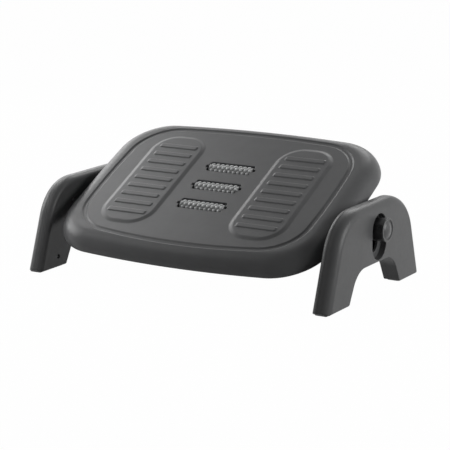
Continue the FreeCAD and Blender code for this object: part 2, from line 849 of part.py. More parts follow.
def make_screw(radius, head_radius, head_height, seat, grip, x, v):
    head = post(head_radius, seat - head_height, seat, x, v)
    return head.fuse(post(radius, seat - head_height / 2, cover_inside + grip - cut_margin, x, v))


def make_cover_screws():
    screws = [
        make_screw(
            cover_screw_radius, cover_screw_head_radius, cover_screw_head_height, platform_bottom,
            cover_screw_grip, x, v,
        )
        for x, v in cover_screw_places()
    ]
    return on_platform(Part.makeCompound(screws))


def make_bracket_screws():
    screws = [
        make_screw(
            bracket_screw_radius, bracket_screw_head_radius, bracket_screw_head_height, bracket_flange_bottom,
            bracket_screw_grip, x, v,
        )
        for x, v in bracket_screw_places(1)
    ]
    return on_platform(Part.makeCompound(screws))


def stop_angles():
    """Angles of the two stop blocks, in the platform's frame, each as start and end."""
    reach = stop_tab_half_angle + stop_free_angle
    steep = -90 - tilt_steepest - reach
    flat = -90 - tilt_flattest + reach
    return (steep - stop_block_angle, steep), (flat, flat + stop_block_angle)


def make_pivot_bracket():
    half = bracket_length / 2
    flange_start_x = bracket_face_x - bracket_flange_width
    ear_x = bracket_face_x - bracket_ear_thickness
    bracket = block(
        flange_start_x, bracket_face_x, -half, half, bracket_flange_bottom, platform_bottom
    )
    corners = [
        Vector(-half, platform_bottom, 0),
        Vector(-half, bracket_flange_bottom, 0),
        Vector(-bracket_ear_lobe_half_width, -bracket_ear_lobe, 0),
        Vector(bracket_ear_lobe_half_width, -bracket_ear_lobe, 0),
        Vector(half, bracket_flange_bottom, 0),
        Vector(half, platform_bottom, 0),
    ]
    lobe_radius = bracket_ear_lobe
    wire = rounded_wire(corners, [0, 0, lobe_radius, lobe_radius, 0, 0])
    bracket = bracket.fuse(sideways_prism(wire, ear_x, bracket_face_x))
    bracket = bracket.fuse(disc(bracket_boss_radius, bracket_face_x - bracket_boss_length, bracket_face_x))
    gusset = [
        Vector(ear_x - bracket_gusset_reach, bracket_flange_bottom, 0),
        Vector(ear_x, bracket_flange_bottom - bracket_gusset_drop, 0),
        Vector(ear_x, bracket_flange_bottom, 0),
    ]
    for v in (-bracket_gusset_v, bracket_gusset_v):
        wall = upright_prism(rounded_wire(gusset, [0] * len(gusset)), 0, bracket_gusset_thickness)
        wall.rotate(Vector(0, 0, 0), Vector(1, 0, 0), 90)
        wall.translate(Vector(0, v + bracket_gusset_thickness / 2, 0))
        bracket = bracket.fuse(wall)
    for start, end in stop_angles():
        stop = ring_sector(
            stop_block_inner_radius, stop_tab_radius,
            bracket_face_x - cut_margin, bracket_face_x + stop_block_height, start, end,
        )
        bracket = bracket.fuse(stop)
    bolt_hole = disc(bolt_radius + running_clearance, flange_start_x, bracket_face_x + cut_margin)
    bracket = bracket.cut(bolt_hole)
    for x, v in bracket_screw_places(1):
        hole = post(bracket_screw_radius + screw_free_clearance, bracket_flange_bottom, platform_bottom, x, v)
        bracket = bracket.cut(hole)
    return on_platform(bracket.removeSplitter())


def make_roller(centre_v):
    half = roller_length / 2
    roller = disc(roller_radius, -half, half).cut(disc(axle_radius + running_clearance, -half, half))
    roller.translate(Vector(0, centre_v, axle_height))
    return on_platform(roller)


def make_axle(centre_v):
    half = saddle_end_x - saddle_clearance
    return on_platform(disc_at(axle_radius, -half, half, (centre_v, axle_height)))


def right_side_pieces():
    front_span, rear_span = foot_spans()
    return {
        "leg_shell": make_leg_shell(),
        "leg_cover": make_leg_cover(),
        "leg_screws": make_leg_screws(),
        "front_foot": make_foot(front_span),
        "rear_foot": make_foot(rear_span),
        "pivot_bolt": make_pivot_bolt(),
        "pivot_spacer": make_pivot_spacer(),
        "guide_bush": make_guide_bush(),
        "thrust_washer": make_thrust_washer(),
        "friction_washer": make_friction_washer(),
        "knob_body": make_knob_body(),
        "knob_insert": make_knob_insert(),
        "knob_cap": make_knob_cap(),
        "pivot_bracket": make_pivot_bracket(),
        "bracket_screws": make_bracket_screws(),
    }


def all_pieces():
    pieces = {
        "platform_tread": make_platform_tread(),
        "platform_bottom_cover": make_bottom_cover(),
        "platform_cover_screws": make_cover_screws(),
    }
    for name, centre_v in zip(("front", "middle", "rear"), roller_places()):
        pieces[name + "_roller"] = make_roller(centre_v)
        pieces[name + "_roller_axle"] = make_axle(centre_v)
    for name, shape in right_side_pieces().items():
        pieces["right_" + name] = shape
        pieces["left_" + name] = shape.mirror(Vector(0, 0, 0), Vector(1, 0, 0))
    return pieces


def main():
    os.makedirs("parts", exist_ok=True)
    points = []
    for name, shape in sorted(all_pieces().items()):
        points += shape.tessellate(report_tolerance)[0]
        print(name, "solids", len(shape.Solids), "valid", shape.isValid(), "volume", round(shape.Volume, 1))
        shape.exportStep("parts/" + name + ".step")
    for axis in ("x", "y", "z"):
        values = [getattr(point, axis) for point in points]
        print(axis, round(min(values), 2), round(max(values), 2))


main()
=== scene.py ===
"""Looks of a tilting under-desk footrest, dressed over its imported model.

The classes hold their sizes in millimetres, as a maker would give them, and the meshes are made in
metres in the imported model's own frame: X across the footrest, Y from the user to the back, Z up.
The platform's pieces are worked out flat, as (x, v, n): v runs up the slope from the pivot axis,
and n stands out of the tread. The right leg's and knob's pieces are worked out once and mirrored
for the left.
"""
import itertools
import json
import logging
import math
from dataclasses import dataclass
from enum import Enum
from typing import Sequence

import bmesh
import bpy
import numpy as np
from mathutils import Matrix, Vector
from mathutils.geometry import tessellate_polygon


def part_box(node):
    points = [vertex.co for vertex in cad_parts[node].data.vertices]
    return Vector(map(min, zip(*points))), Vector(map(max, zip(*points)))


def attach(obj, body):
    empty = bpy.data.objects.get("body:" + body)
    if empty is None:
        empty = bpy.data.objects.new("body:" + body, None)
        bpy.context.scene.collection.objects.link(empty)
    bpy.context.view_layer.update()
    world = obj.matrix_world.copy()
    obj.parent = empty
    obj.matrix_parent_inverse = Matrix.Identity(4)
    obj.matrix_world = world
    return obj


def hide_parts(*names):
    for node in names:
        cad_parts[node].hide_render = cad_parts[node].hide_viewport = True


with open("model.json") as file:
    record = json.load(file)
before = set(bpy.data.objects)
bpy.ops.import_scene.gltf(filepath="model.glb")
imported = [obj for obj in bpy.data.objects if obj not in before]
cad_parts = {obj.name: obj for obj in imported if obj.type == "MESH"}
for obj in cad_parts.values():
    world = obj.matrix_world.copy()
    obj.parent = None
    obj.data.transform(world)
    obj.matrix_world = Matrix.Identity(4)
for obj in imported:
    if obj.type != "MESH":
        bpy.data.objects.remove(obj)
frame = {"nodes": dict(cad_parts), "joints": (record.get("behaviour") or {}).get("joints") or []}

MM = 0.001
WELD_GAP = 0.000002
HOLLOW_LAYER = "hollow"
LEAST_ROUND = 0.25
FULL_TURN = 2 * math.pi
ANGLE_SLACK = 1e-6

log = logging.getLogger("footrest")

Colour = tuple[float, float, float]
Place = tuple[float, float]
Span = tuple[float, float]
Spot = tuple[float, float, float]
Socket = bpy.types.NodeSocket


class Side(Enum):
    """The two sides of the footrest, by the sign of X."""

    RIGHT = 1
    LEFT = -1

    @property
    def word(self) -> str:
        """The side as the nodes' names begin."""
        return self.name.lower()


class Body(Enum):
    """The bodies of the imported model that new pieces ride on."""

    LEGS = "legs"
    PLATFORM = "platform"
    RIGHT_KNOB = "right_knob"
    LEFT_KNOB = "left_knob"
    FRONT_ROLLER = "front_roller_body"
    MIDDLE_ROLLER = "middle_roller_body"
    REAR_ROLLER = "rear_roller_body"


class Slot(Enum):
    """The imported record's material slots."""

    TREAD = "tread_plastic"
    CHARCOAL = "charcoal_plastic"
    KNOB = "knob_plastic"
    CAP = "cap_plastic"
    ROLLER = "roller_plastic"
    NYLON = "nylon"
    RUBBER = "rubber"
    STEEL = "zinc_steel"
    BRASS = "brass_insert"


# Outlines and curves


def unit(vectors: np.ndarray) -> np.ndarray:
    """Vectors of length one along the last axis."""
    return vectors / np.linalg.norm(vectors, axis=-1, keepdims=True)


def smooth_step(share: np.ndarray) -> np.ndarray:
    """An S-curve from 0 to 1: three shares squared less two shares cubed, flat at both ends."""
    kept = np.clip(share, 0.0, 1.0)
    return kept * kept * (3 - 2 * kept)


def quarter_round(radius: float, steps: int) -> np.ndarray:
    """A quarter circle that turns a face's edge.

    Each point is (inset, drop): radius times (1 - sine, 1 - cosine) of the angle from the wall.

    Args:
        radius: The edge's round.
        steps: How many pieces the quarter is cut into.

    Returns:
        Points from the flat face (inset radius, drop 0) to the wall (inset 0, drop radius).
    """
    angle = np.linspace(0.0, math.pi / 2, steps + 1)
    return radius * np.stack([1 - np.sin(angle), 1 - np.cos(angle)], axis=1)


@dataclass(frozen=True)
class RoundedPolygon:
    """A closed outline of straight edges with a round at each corner, anticlockwise.

    Attributes:
        corners: Corner points, one row each. Edge k runs from corner k to the next one.
        radii: The round at each corner.
    """

    corners: np.ndarray
    radii: np.ndarray

    def moved_in(self, insets: np.ndarray) -> "RoundedPolygon":
        """The outline with each edge moved inwards by its own distance.

        A corner goes to where its two moved edges meet: its shift along each edge's normal is that
        edge's distance. Outer rounds get tighter by the mean distance, and inner rounds wider.

        Args:
            insets: One distance for each edge.

        Returns:
            The new outline.
        """
        along = unit(np.roll(self.corners, -1, axis=0) - self.corners)
        inward = np.stack([-along[:, 1], along[:, 0]], axis=1)
        normals = np.stack([np.roll(inward, 1, axis=0), inward], axis=1)
        distances = np.stack([np.roll(insets, 1), insets], axis=1)
        shift = np.linalg.solve(normals, distances[..., None])[..., 0]
        arriving = np.roll(along, 1, axis=0)
        turn = arriving[:, 0] * along[:, 1] - arriving[:, 1] * along[:, 0]
        change = np.where(turn > 0, -1.0, 1.0) * distances.mean(axis=1)
        radii = np.maximum(self.radii + change, LEAST_ROUND)
        return RoundedPolygon(self.corners + shift, radii)

    def loop(self, arc_steps: int, edge_steps: int) -> np.ndarray:
        """Points along the outline.

        A round starts at the corner plus radius / tan(half angle) along the edge before it, and
        turns about its centre by the angle between the two edges.

        Args:
            arc_steps: Pieces in each round.
            edge_steps: Pieces in each straight edge.

        Returns:
            The points, one row each, with no repeated end.
        """
        before = unit(np.roll(self.corners, 1, axis=0) - self.corners)
        after = unit(np.roll(self.corners, -1, axis=0) - self.corners)
        half = np.arccos(np.clip((before * after).sum(axis=1), -1, 1)) / 2
        start = self.corners + before * (self.radii / np.tan(half))[:, None]
        centre = self.corners + unit(before + after) * (self.radii / np.sin(half))[:, None]
        leftward = np.sign(before[:, 1] * after[:, 0] - before[:, 0] * after[:, 1])
        angle = (leftward * (math.pi - 2 * half))[:, None] * np.linspace(0, 1, arc_steps + 1)
        spoke = (start - centre)[:, None, :]
        across = np.stack([-spoke[..., 1], spoke[..., 0]], axis=-1)
        arcs = (centre[:, None, :] + spoke * np.cos(angle)[..., None]
                + across * np.sin(angle)[..., None])
        share = np.linspace(0, 1, edge_steps + 1)[1:-1][None, :, None]
        lines = arcs[:, -1:, :] * (1 - share) + np.roll(start, -1, axis=0)[:, None, :] * share
        return np.concatenate([arcs, lines], axis=1).reshape(-1, 2)


def rounded_rectangle(length: float, width: float, radius: float,
                      centre: Place = (0.0, 0.0)) -> RoundedPolygon:
    """A rectangle with the same round at all corners.

    Args:
        length: Its size along the first axis.
        width: Its size along the second axis.
        radius: The corners' round.
        centre: Its middle.

    Returns:
        The outline.
    """
    signs = np.array([[-1, -1], [1, -1], [1, 1], [-1, 1]])
    corners = np.array(centre) + signs * np.array([length, width]) / 2
    return RoundedPolygon(corners, np.full(4, radius))


@dataclass(frozen=True)
class BowedOutline:
    """A rectangle with gently bowed sides and round corners, made of eight tangent arcs.

    Attributes:
        half_width: Half its size along X, at the middle of the bowed sides.
        near: The near end along v.
        far: The far end along v.
        near_corner: Round of the two near corners.
        far_corner: Round of the two far corners.
        near_bow: Radius of the near side's bow.
        far_bow: Radius of the far side's bow.
        side_bow: Radius of the left and right sides' bow.
    """

    half_width: float
    near: float
    far: float
    near_corner: float
    far_corner: float
    near_bow: float
    far_bow: float
    side_bow: float

    def corner_centre(self, bow_centre: np.ndarray, bow: float, radius: float,
                      far: bool) -> np.ndarray:
        """Centre of a right-hand corner arc.

        It lies bow - radius from the bow's centre and side_bow - radius from the side's centre, so
        it is where those two circles cross.

        Args:
            bow_centre: Centre of the near or far bow.
            bow: That bow's radius.
            radius: The corner's round.
            far: Whether it is the far corner.

        Returns:
            The centre.
        """
        side_centre = self.side_centre
        between = side_centre - bow_centre
        gap = np.linalg.norm(between)
        reach = bow - radius
        along = (reach ** 2 - (self.side_bow - radius) ** 2 + gap ** 2) / (2 * gap)
        across = math.sqrt(reach ** 2 - along ** 2)
        direction = between / gap
        normal = np.array([-direction[1], direction[0]])
        crossings = bow_centre + direction * along + np.outer([1, -1], normal) * across
        right = crossings[crossings[:, 0] > 0]
        return right[np.argmax(right[:, 1]) if far else np.argmin(right[:, 1])]

    @property
    def side_centre(self) -> np.ndarray:
        """Centre of the right side's bow."""
        return np.array([self.half_width - self.side_bow, (self.near + self.far) / 2])

    def arcs(self) -> tuple[np.ndarray, np.ndarray, np.ndarray]:
        """The eight arcs, anticlockwise from the middle of the near side's left end.

        Returns:
            Their centres, their radii, and the angles where they start, with the last one's end.
        """
        near_centre = np.array([0.0, self.near + self.near_bow])
        far_centre = np.array([0.0, self.far - self.far_bow])
        near_round = self.corner_centre(near_centre, self.near_bow, self.near_corner, False)
        far_round = self.corner_centre(far_centre, self.far_bow, self.far_corner, True)
        steps = [near_round - near_centre, near_round - self.side_centre,
                 far_round - self.side_centre, far_round - far_centre]
        right = [math.atan2(step[1], step[0]) for step in steps]
        flip = np.array([-1, 1])
        centres = np.array([near_centre, near_round, self.side_centre, far_round, far_centre,
                            far_round * flip, self.side_centre * flip, near_round * flip])
        radii = np.array([self.near_bow, self.near_corner, self.side_bow, self.far_corner,
                          self.far_bow, self.far_corner, self.side_bow, self.near_corner])
        left = [math.pi - angle for angle in reversed(right)]
        first = -math.pi - right[0]
        return centres, radii, np.array([first, *right, *left])

    def loop(self, offset: float, steps: int) -> np.ndarray:
        """Points of the outline moved outwards: centre + (radius + offset)(cos, sin).

        Args:
            offset: How far outwards, or inwards below zero.
            steps: Pieces in each arc.

        Returns:
            The points, one row each, with no repeated end.
        """
        centres, radii, angles = self.arcs()
        share = np.arange(steps) / steps
        angle = angles[:-1, None] + np.diff(angles)[:, None] * share
        spokes = np.stack([np.cos(angle), np.sin(angle)], axis=-1)
        return (centres[:, None, :] + (radii + offset)[:, None, None] * spokes).reshape(-1, 2)

    def depth(self, points: np.ndarray) -> np.ndarray:
        """How far inside the outline points lie.

        It is the least of radius less distance from an arc's centre, over the arcs whose stretch
        of angles faces the point.

        Args:
            points: Points near the outline.

        Returns:
            One distance each.
        """
        centres, radii, angles = self.arcs()
        spokes = points[:, None, :] - centres
        facing = np.arctan2(spokes[..., 1], spokes[..., 0])
        turned = np.mod(facing - angles[:-1], FULL_TURN)
        counts = turned <= np.diff(angles) + ANGLE_SLACK
        inside = radii - np.linalg.norm(spokes, axis=-1)
        return np.where(counts, inside, np.inf).min(axis=1)


def slot_loop(centre: float, low: float, high: float, radius: float, steps: int) -> np.ndarray:
    """An upright slot, round at both ends, in (y, z), anticlockwise.

    Args:
        centre: Its middle along Y.
        low: Height of the lower end's centre.
        high: Height of the upper end's centre.
        radius: Half its width.
        steps: Pieces in each half circle.

    Returns:
        The points, one row each.
    """
    angle = np.linspace(math.pi, FULL_TURN, steps + 1)
    lower = np.stack([centre + radius * np.cos(angle), low + radius * np.sin(angle)], axis=1)
    upper = np.stack([centre - radius * np.cos(angle), high - radius * np.sin(angle)], axis=1)
    return np.concatenate([lower, upper])


def circle_loop(centre: Place, radius: float, steps: int) -> np.ndarray:
    """A circle about a centre, anticlockwise.

    Args:
        centre: Its middle.
        radius: Its radius.
        steps: Pieces in the circle.

    Returns:
        The points, one row each.
    """
    angle = np.arange(steps) / steps * FULL_TURN
    return np.array(centre) + radius * np.stack([np.cos(angle), np.sin(angle)], axis=1)


def at_height(loop: np.ndarray, height: np.ndarray | float) -> np.ndarray:
    """(a, b) points as (a, b, height)."""
    return np.column_stack([loop, np.broadcast_to(height, len(loop))])


def at_depth(loop: np.ndarray, depth: float) -> np.ndarray:
    """(y, z) points of a side view as (x, y, z) at x = depth."""
    return np.column_stack([np.full(len(loop), depth), loop])


def turned_rings(axis: Place, profile: Sequence[Place], steps: int) -> list[np.ndarray]:
    """A profile carried round an axis along X: one circle for each of its points.

    Args:
        axis: The axis, as (y, z).
        profile: Points as (radius, x).
        steps: Pieces in each circle.

    Returns:
        The circles.
    """
    return [at_depth(circle_loop(axis, radius, steps), x) for radius, x in profile]


# Places


@dataclass(frozen=True)
class TiltedPlane:
    """The platform's own frame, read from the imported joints.

    Attributes:
        pivot_y: The pivot axis along Y.
        pivot_z: Its height.
        angle: The tread's slope in radians.
        roller_v: Each roller's axle along the slope, front first.
        roller_n: The axles' height in the platform's frame.
    """

    pivot_y: float
    pivot_z: float
    angle: float
    roller_v: tuple[float, ...]
    roller_n: float

    @classmethod
    def from_joints(cls, joints: Sequence[dict]) -> "TiltedPlane":
        """Reads the tilt from the line through the rollers' axles.

        Args:
            joints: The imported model's joints.

        Returns:
            The platform's frame.
        """
        places = {joint["name"]: np.array(joint.get("pos_m", (0, 0, 0))) / MM for joint in joints}
        pivot = places["platform_tilt"]
        axles = np.array([places[name] for name in
                          ("front_roller_spin", "middle_roller_spin", "rear_roller_spin")])
        run = axles[-1] - axles[0]
        angle = math.atan2(run[2], run[1])
        offset = axles[:, 1:] - pivot[1:]
        along = offset[:, 0] * math.cos(angle) + offset[:, 1] * math.sin(angle)
        above = offset[:, 1] * math.cos(angle) - offset[:, 0] * math.sin(angle)
        return cls(pivot[1], pivot[2], angle, tuple(along), float(above.mean()))

    def place(self, flat: np.ndarray) -> np.ndarray:
        """Turns (x, v, n) about the pivot axis: y = v cos - n sin, z = v sin + n cos.

        Args:
            flat: Points in the platform's frame.

        Returns:
            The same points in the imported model's frame.
        """
        x, v, n = np.moveaxis(flat, -1, 0)
        cosine = math.cos(self.angle)
        sine = math.sin(self.angle)
        y = self.pivot_y + v * cosine - n * sine
        z = self.pivot_z + v * sine + n * cosine
        return np.stack([x, y, z], axis=-1)


def node_box(name: str) -> tuple[np.ndarray, np.ndarray]:
    """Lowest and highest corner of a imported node, in millimetres."""
    low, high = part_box(name)
    return np.array(low) / MM, np.array(high) / MM


# Meshes


class Skin:
    """Surfaces of one piece, gathered as whole arrays and welded into one mesh."""

    def __init__(self) -> None:
        """Starts with no surface."""
        self.points: list[np.ndarray] = []
        self.faces: list[list[int]] = []
        self.count = 0

    def keep(self, points: np.ndarray) -> np.ndarray:
        """Adds points to the mesh.

        Args:
            points: The points along the last axis, in any arrangement.

        Returns:
            Their numbers in the mesh, in the same arrangement.
        """
        flat = points.reshape(-1, 3)
        numbers = self.count + np.arange(len(flat))
        self.points.append(flat)
        self.count += len(flat)
        return numbers.reshape(points.shape[:-1])

    def band(self, rings: Sequence[np.ndarray]) -> None:
        """Joins each closed ring to the next with four-sided faces.

        Args:
            rings: Rings of equal length, points one row each.
        """
        numbers = self.keep(np.stack(rings))
        ahead = np.roll(numbers, -1, axis=1)
        quads = np.stack([numbers[:-1], ahead[:-1], ahead[1:], numbers[1:]], axis=-1)
        self.faces += quads.reshape(-1, 4).tolist()

    def fill(self, loops: Sequence[np.ndarray]) -> None:
        """Fills the flat face inside the first loop and outside the others.

        Args:
            loops: Closed loops in one plane, points one row each.
        """
        numbers = self.keep(np.concatenate(loops))
        outlines = [[Vector(point) for point in loop] for loop in loops]
        self.faces += [[int(numbers[i]) for i in face] for face in tessellate_polygon(outlines)]

    def crown(self, ring: np.ndarray, tip: np.ndarray) -> None:
        """Closes a ring with three-sided faces that meet at a tip.

        Args:
            ring: The closed ring, points one row each.
            tip: The point in its middle.
        """
        numbers = self.keep(ring)
        middle = int(self.keep(tip[None, :])[0])
        ahead = np.roll(numbers, -1)
        self.faces += [[int(a), int(b), middle] for a, b in zip(numbers, ahead)]

    def mirrored(self, side: Side) -> "Skin":
        """The surfaces of a right-hand piece for either side, by the sign of X.

        Args:
            side: The side to make.

        Returns:
            The surfaces of that side's piece.
        """
        other = Skin()
        other.points = [points * np.array([side.value, 1, 1]) for points in self.points]
        other.faces = self.faces
        other.count = self.count
        return other

    def piece(self, name: str, crease_degrees: float = 35.0) -> bpy.types.Object:
        """Welds the surfaces into one mesh whose faces point outwards.

        Args:
            name: The piece's name.
            crease_degrees: Edges that turn by more than this stay sharp.

        Returns:
            The piece's object, at the origin.
        """
        mesh = bpy.data.meshes.new(name)
        mesh.from_pydata(np.concatenate(self.points) * MM, [], self.faces)
        welded = bmesh.new()
        welded.from_mesh(mesh)
        bmesh.ops.remove_doubles(welded, verts=welded.verts, dist=WELD_GAP)
        bmesh.ops.recalc_face_normals(welded, faces=welded.faces)
        open_edges = sum(not edge.is_manifold for edge in welded.edges)
        welded.to_mesh(mesh)
        welded.free()
        mesh.polygons.foreach_set("use_smooth", np.ones(len(mesh.polygons), dtype=bool))
        mesh.set_sharp_from_angle(angle=math.radians(crease_degrees))
        piece = bpy.data.objects.new(name, mesh)
        bpy.context.scene.collection.objects.link(piece)
        shading = piece.modifiers.new("even_shading", "WEIGHTED_NORMAL")
        shading.keep_sharp = True
        log.info("%s: %d faces, %d open edges", name, len(mesh.polygons), open_edges)
        return piece


# Finishes


class NodeGraph:
    """A material's nodes, made and joined by short calls.

    Attributes:
        LAYER_STRENGTH: How strong each finer layer of a noise is beside the one before it.
        NOISE_RANGE: The values between which most of a noise lies.
    """

    LAYER_STRENGTH = 0.6
    NOISE_RANGE = (0.3, 0.7)

    def __init__(self, name: str) -> None:
        """Starts a material that holds only its shader and output.

        Args:
            name: The material's name.
        """
        self.material = bpy.data.materials.new(name)
        self.material.use_nodes = True
        self.tree = self.material.node_tree
        self.shader = self.tree.nodes["Principled BSDF"]
        self.output = self.tree.nodes["Material Output"]

    def add(self, kind: str, **settings: object) -> bpy.types.Node:
        """Adds a node and gives its settings and input values by name.

        Args:
            kind: The node's type.
            settings: Its attributes, or its inputs' values with spaces as underscores.

        Returns:
            The node.
        """
        node = self.tree.nodes.new(kind)
        for key, value in settings.items():
            if hasattr(node, key):
                setattr(node, key, value)
            else:
                node.inputs[key.replace("_", " ")].default_value = value
        return node

    def join(self, source: Socket, target: Socket) -> None:
        """Leads an output into an input."""
        self.tree.links.new(source, target)

    def place(self) -> Socket:
        """Object coordinates, which stay on the piece as it moves."""
        return self.add("ShaderNodeTexCoord").outputs["Object"]

    def noise(self, size: float, place: Socket, detail: float) -> Socket:
        """A noise pattern whose spots are about a given size.

        Args:
            size: The spots' size in millimetres.
            place: The coordinates that it reads.
            detail: How many finer layers lie on it.

        Returns:
            Its value, about a half on average.
        """
        node = self.add("ShaderNodeTexNoise", Scale=1 / (size * MM), Detail=detail,
                        Roughness=self.LAYER_STRENGTH)
        self.join(place, node.inputs["Vector"])
        return node.outputs["Fac"]

    def spread(self, value: Socket, low: float, high: float) -> Socket:
        """Maps a noise's usual range onto another range.

        Args:
            value: The noise's value.
            low: What its low values become.
            high: What its high values become.

        Returns:
            The mapped value.
        """
        usual_low, usual_high = self.NOISE_RANGE
        node = self.add("ShaderNodeMapRange", From_Min=usual_low, From_Max=usual_high,
                        To_Min=low, To_Max=high)
        self.join(value, node.inputs["Value"])
        return node.outputs["Result"]

    def tint(self, low: Colour, high: Colour, pattern: Socket) -> Socket:
        """A colour that varies between two by a noise pattern.

        Args:
            low: The colour at the pattern's low values.
            high: The colour at its high values.
            pattern: The noise's value.

        Returns:
            The colour.
        """
        mix = self.add("ShaderNodeMix", data_type="RGBA")
        mix.inputs["A"].default_value = (*low, 1)
        mix.inputs["B"].default_value = (*high, 1)
        self.join(self.spread(pattern, 0, 1), mix.inputs["Factor"])
        return mix.outputs["Result"]

    def bump(self, height: Socket, depth: float, under: Socket | None = None) -> Socket:
        """Relief from a height pattern.

        Args:
            height: The pattern, from 0 to 1.
            depth: The relief's depth in millimetres.
            under: A relief that this one lies on.

        Returns:
            The normal.
        """
        node = self.add("ShaderNodeBump", Distance=depth * MM, Strength=1.0)
        self.join(height, node.inputs["Height"])
        if under is not None:
            self.join(under, node.inputs["Normal"])
        return node.outputs["Normal"]


@dataclass(frozen=True)
class MouldedPlastic:
    """Plastic from a mould with a fine spark-eroded texture.

    Attributes:
        name: The material's name.
        colour: Its colour, linear.
        roughness: Its mean roughness.
        shine: The strength of its reflections, from 0 to 1.
        polished: How much smoother its smoothest spots are.
        rubbed: How much rougher its roughest spots are.
        rub_size: Size of those spots in millimetres.
        grain_size: Size of the mould texture's grain in millimetres.
        grain_depth: Depth of that grain in millimetres.
        mottle: How much the colour varies, as a share.
        mottle_size: Size of its lighter and darker patches in millimetres.
        wave_size: Size of the broad unevenness of a moulded wall in millimetres.
        wave_depth: Depth of that unevenness in millimetres.
        hollow_shade: Painted shade: how much darker its hollows are, as a share. A piece stores them
            as
            HOLLOW_LAYER.
        shade_colour: The colour of the painted shade in those hollows, linear.
    """

    name: str
    colour: Colour
    roughness: float = 0.36
    shine: float = 0.2
    polished: float = 0.04
    rubbed: float = 0.05
    rub_size: float = 7.0
    grain_size: float = 0.45
    grain_depth: float = 0.02
    mottle: float = 0.05
    mottle_size: float = 32.0
    wave_size: float = 45.0
    wave_depth: float = 0.03
    hollow_shade: float = 0.0
    shade_colour: Colour = (0.01, 0.01, 0.01)

    def material(self) -> bpy.types.Material:
        """Builds the material: mottled colour, painted shade in the hollows where it is set, uneven
        gloss, and grain on broad waves.

        Returns:
            The material.
        """
        graph = NodeGraph(self.name)
        place = graph.place()
        low = tuple(channel * (1 - self.mottle) for channel in self.colour)
        high = tuple(channel * (1 + self.mottle) for channel in self.colour)
        colour = graph.tint(low, high, graph.noise(self.mottle_size, place, detail=3.0))
        # Painted shade: the colour is darkened in the piece's hollows.
        if self.hollow_shade:
            colour = self.shade_hollows(graph, colour)
        graph.join(colour, graph.shader.inputs["Base Color"])
        spots = graph.noise(self.rub_size, place, detail=4.0)
        gloss = graph.spread(spots, self.roughness - self.polished, self.roughness + self.rubbed)
        graph.join(gloss, graph.shader.inputs["Roughness"])
        waves = graph.bump(graph.noise(self.wave_size, place, detail=1.0), self.wave_depth)
        grain = graph.noise(self.grain_size, place, detail=2.0)
        relief = graph.bump(grain, self.grain_depth, waves)
        graph.join(relief, graph.shader.inputs["Normal"])
        graph.shader.inputs["Specular IOR Level"].default_value = self.shine
        return graph.material

    def shade_hollows(self, graph: NodeGraph, colour: Socket) -> Socket:
        """Paints shade into a colour where the piece's hollow layer is deep.

        Args:
            graph: The material's nodes.
            colour: The colour without the painted shade.

        Returns:
            The colour with painted shade in the hollows.
        """
        hollow = graph.add("ShaderNodeAttribute", attribute_name=HOLLOW_LAYER)
        share = graph.add("ShaderNodeMapRange", To_Max=self.hollow_shade)
        graph.join(hollow.outputs["Fac"], share.inputs["Value"])
        mix = graph.add("ShaderNodeMix", data_type="RGBA")
        graph.join(share.outputs["Result"], mix.inputs["Factor"])
        graph.join(colour, mix.inputs["A"])
        mix.inputs["B"].default_value = (*self.shade_colour, 1)
        return mix.outputs["Result"]


@dataclass(frozen=True)
class WorkedMetal:
    """Turned or plated metal with fine tool marks.

    Attributes:
        name: The material's name.
        colour: Its colour, linear.
        roughness: Its mean roughness.
        tarnish: The brightness of its dull clouds, as a share.
        dulled: How much rougher those clouds are.
        polished: How much smoother the bright metal between them is.
        cloud_size: Size of the clouds in millimetres.
        mark_size: Size of the tool marks in millimetres.
        mark_depth: Their depth in millimetres.
        mark_stretch: How much the pattern is stretched along X: its scale there.
    """

    name: str
    colour: Colour
    roughness: float = 0.32
    tarnish: float = 0.88
    dulled: float = 0.07
    polished: float = 0.05
    cloud_size: float = 6.0
    mark_size: float = 0.5
    mark_depth: float = 0.01
    mark_stretch: float = 0.15

    def material(self) -> bpy.types.Material:
        """Builds the material: clouded plating with tool marks stretched along X.

        Returns:
            The material.
        """
        graph = NodeGraph(self.name)
        place = graph.place()
        stretch = graph.add("ShaderNodeMapping", Scale=(self.mark_stretch, 1.0, 1.0))
        graph.join(place, stretch.inputs["Vector"])
        marks = graph.noise(self.mark_size, stretch.outputs["Vector"], detail=3.0)
        clouds = graph.noise(self.cloud_size, place, detail=3.0)
        dull = tuple(channel * self.tarnish for channel in self.colour)
        graph.join(graph.tint(dull, self.colour, clouds), graph.shader.inputs["Base Color"])
        gloss = graph.spread(clouds, self.roughness + self.dulled, self.roughness - self.polished)
        graph.join(gloss, graph.shader.inputs["Roughness"])
        graph.join(graph.bump(marks, self.mark_depth), graph.shader.inputs["Normal"])
        graph.shader.inputs["Metallic"].default_value = 1.0
        return graph.material


@dataclass(frozen=True)
class SoftRubber:
    """Dull moulded rubber with a powdery bloom.

    Attributes:
        name: The material's name.
        colour: Its colour, linear.
        bloom: The colour of its powdery patches, linear.
        bloom_size: Size of those patches in millimetres.
        smoothest: The roughness of the grain's hollows.
        roughest: The roughness of the grain's tops.
        grain_size: Size of the grain in millimetres.
        grain_depth: Its depth in millimetres.
        index: The rubber's refractive index.
    """

    name: str
    colour: Colour
    bloom: Colour
    bloom_size: float = 9.0
    smoothest: float = 0.78
    roughest: float = 0.92
    grain_size: float = 0.8
    grain_depth: float = 0.05
    index: float = 1.45

    def material(self) -> bpy.types.Material:
        """Builds the material: patches of bloom over a matt ground with a coarse grain.

        Returns:
            The material.
        """
        graph = NodeGraph(self.name)
        place = graph.place()
        patches = graph.noise(self.bloom_size, place, detail=5.0)
        colour = graph.tint(self.colour, self.bloom, patches)
        graph.join(colour, graph.shader.inputs["Base Color"])
        grain = graph.noise(self.grain_size, place, detail=3.0)
        gloss = graph.spread(grain, self.smoothest, self.roughest)
        graph.join(gloss, graph.shader.inputs["Roughness"])
        graph.join(graph.bump(grain, self.grain_depth), graph.shader.inputs["Normal"])
        graph.shader.inputs["IOR"].default_value = self.index
        return graph.material


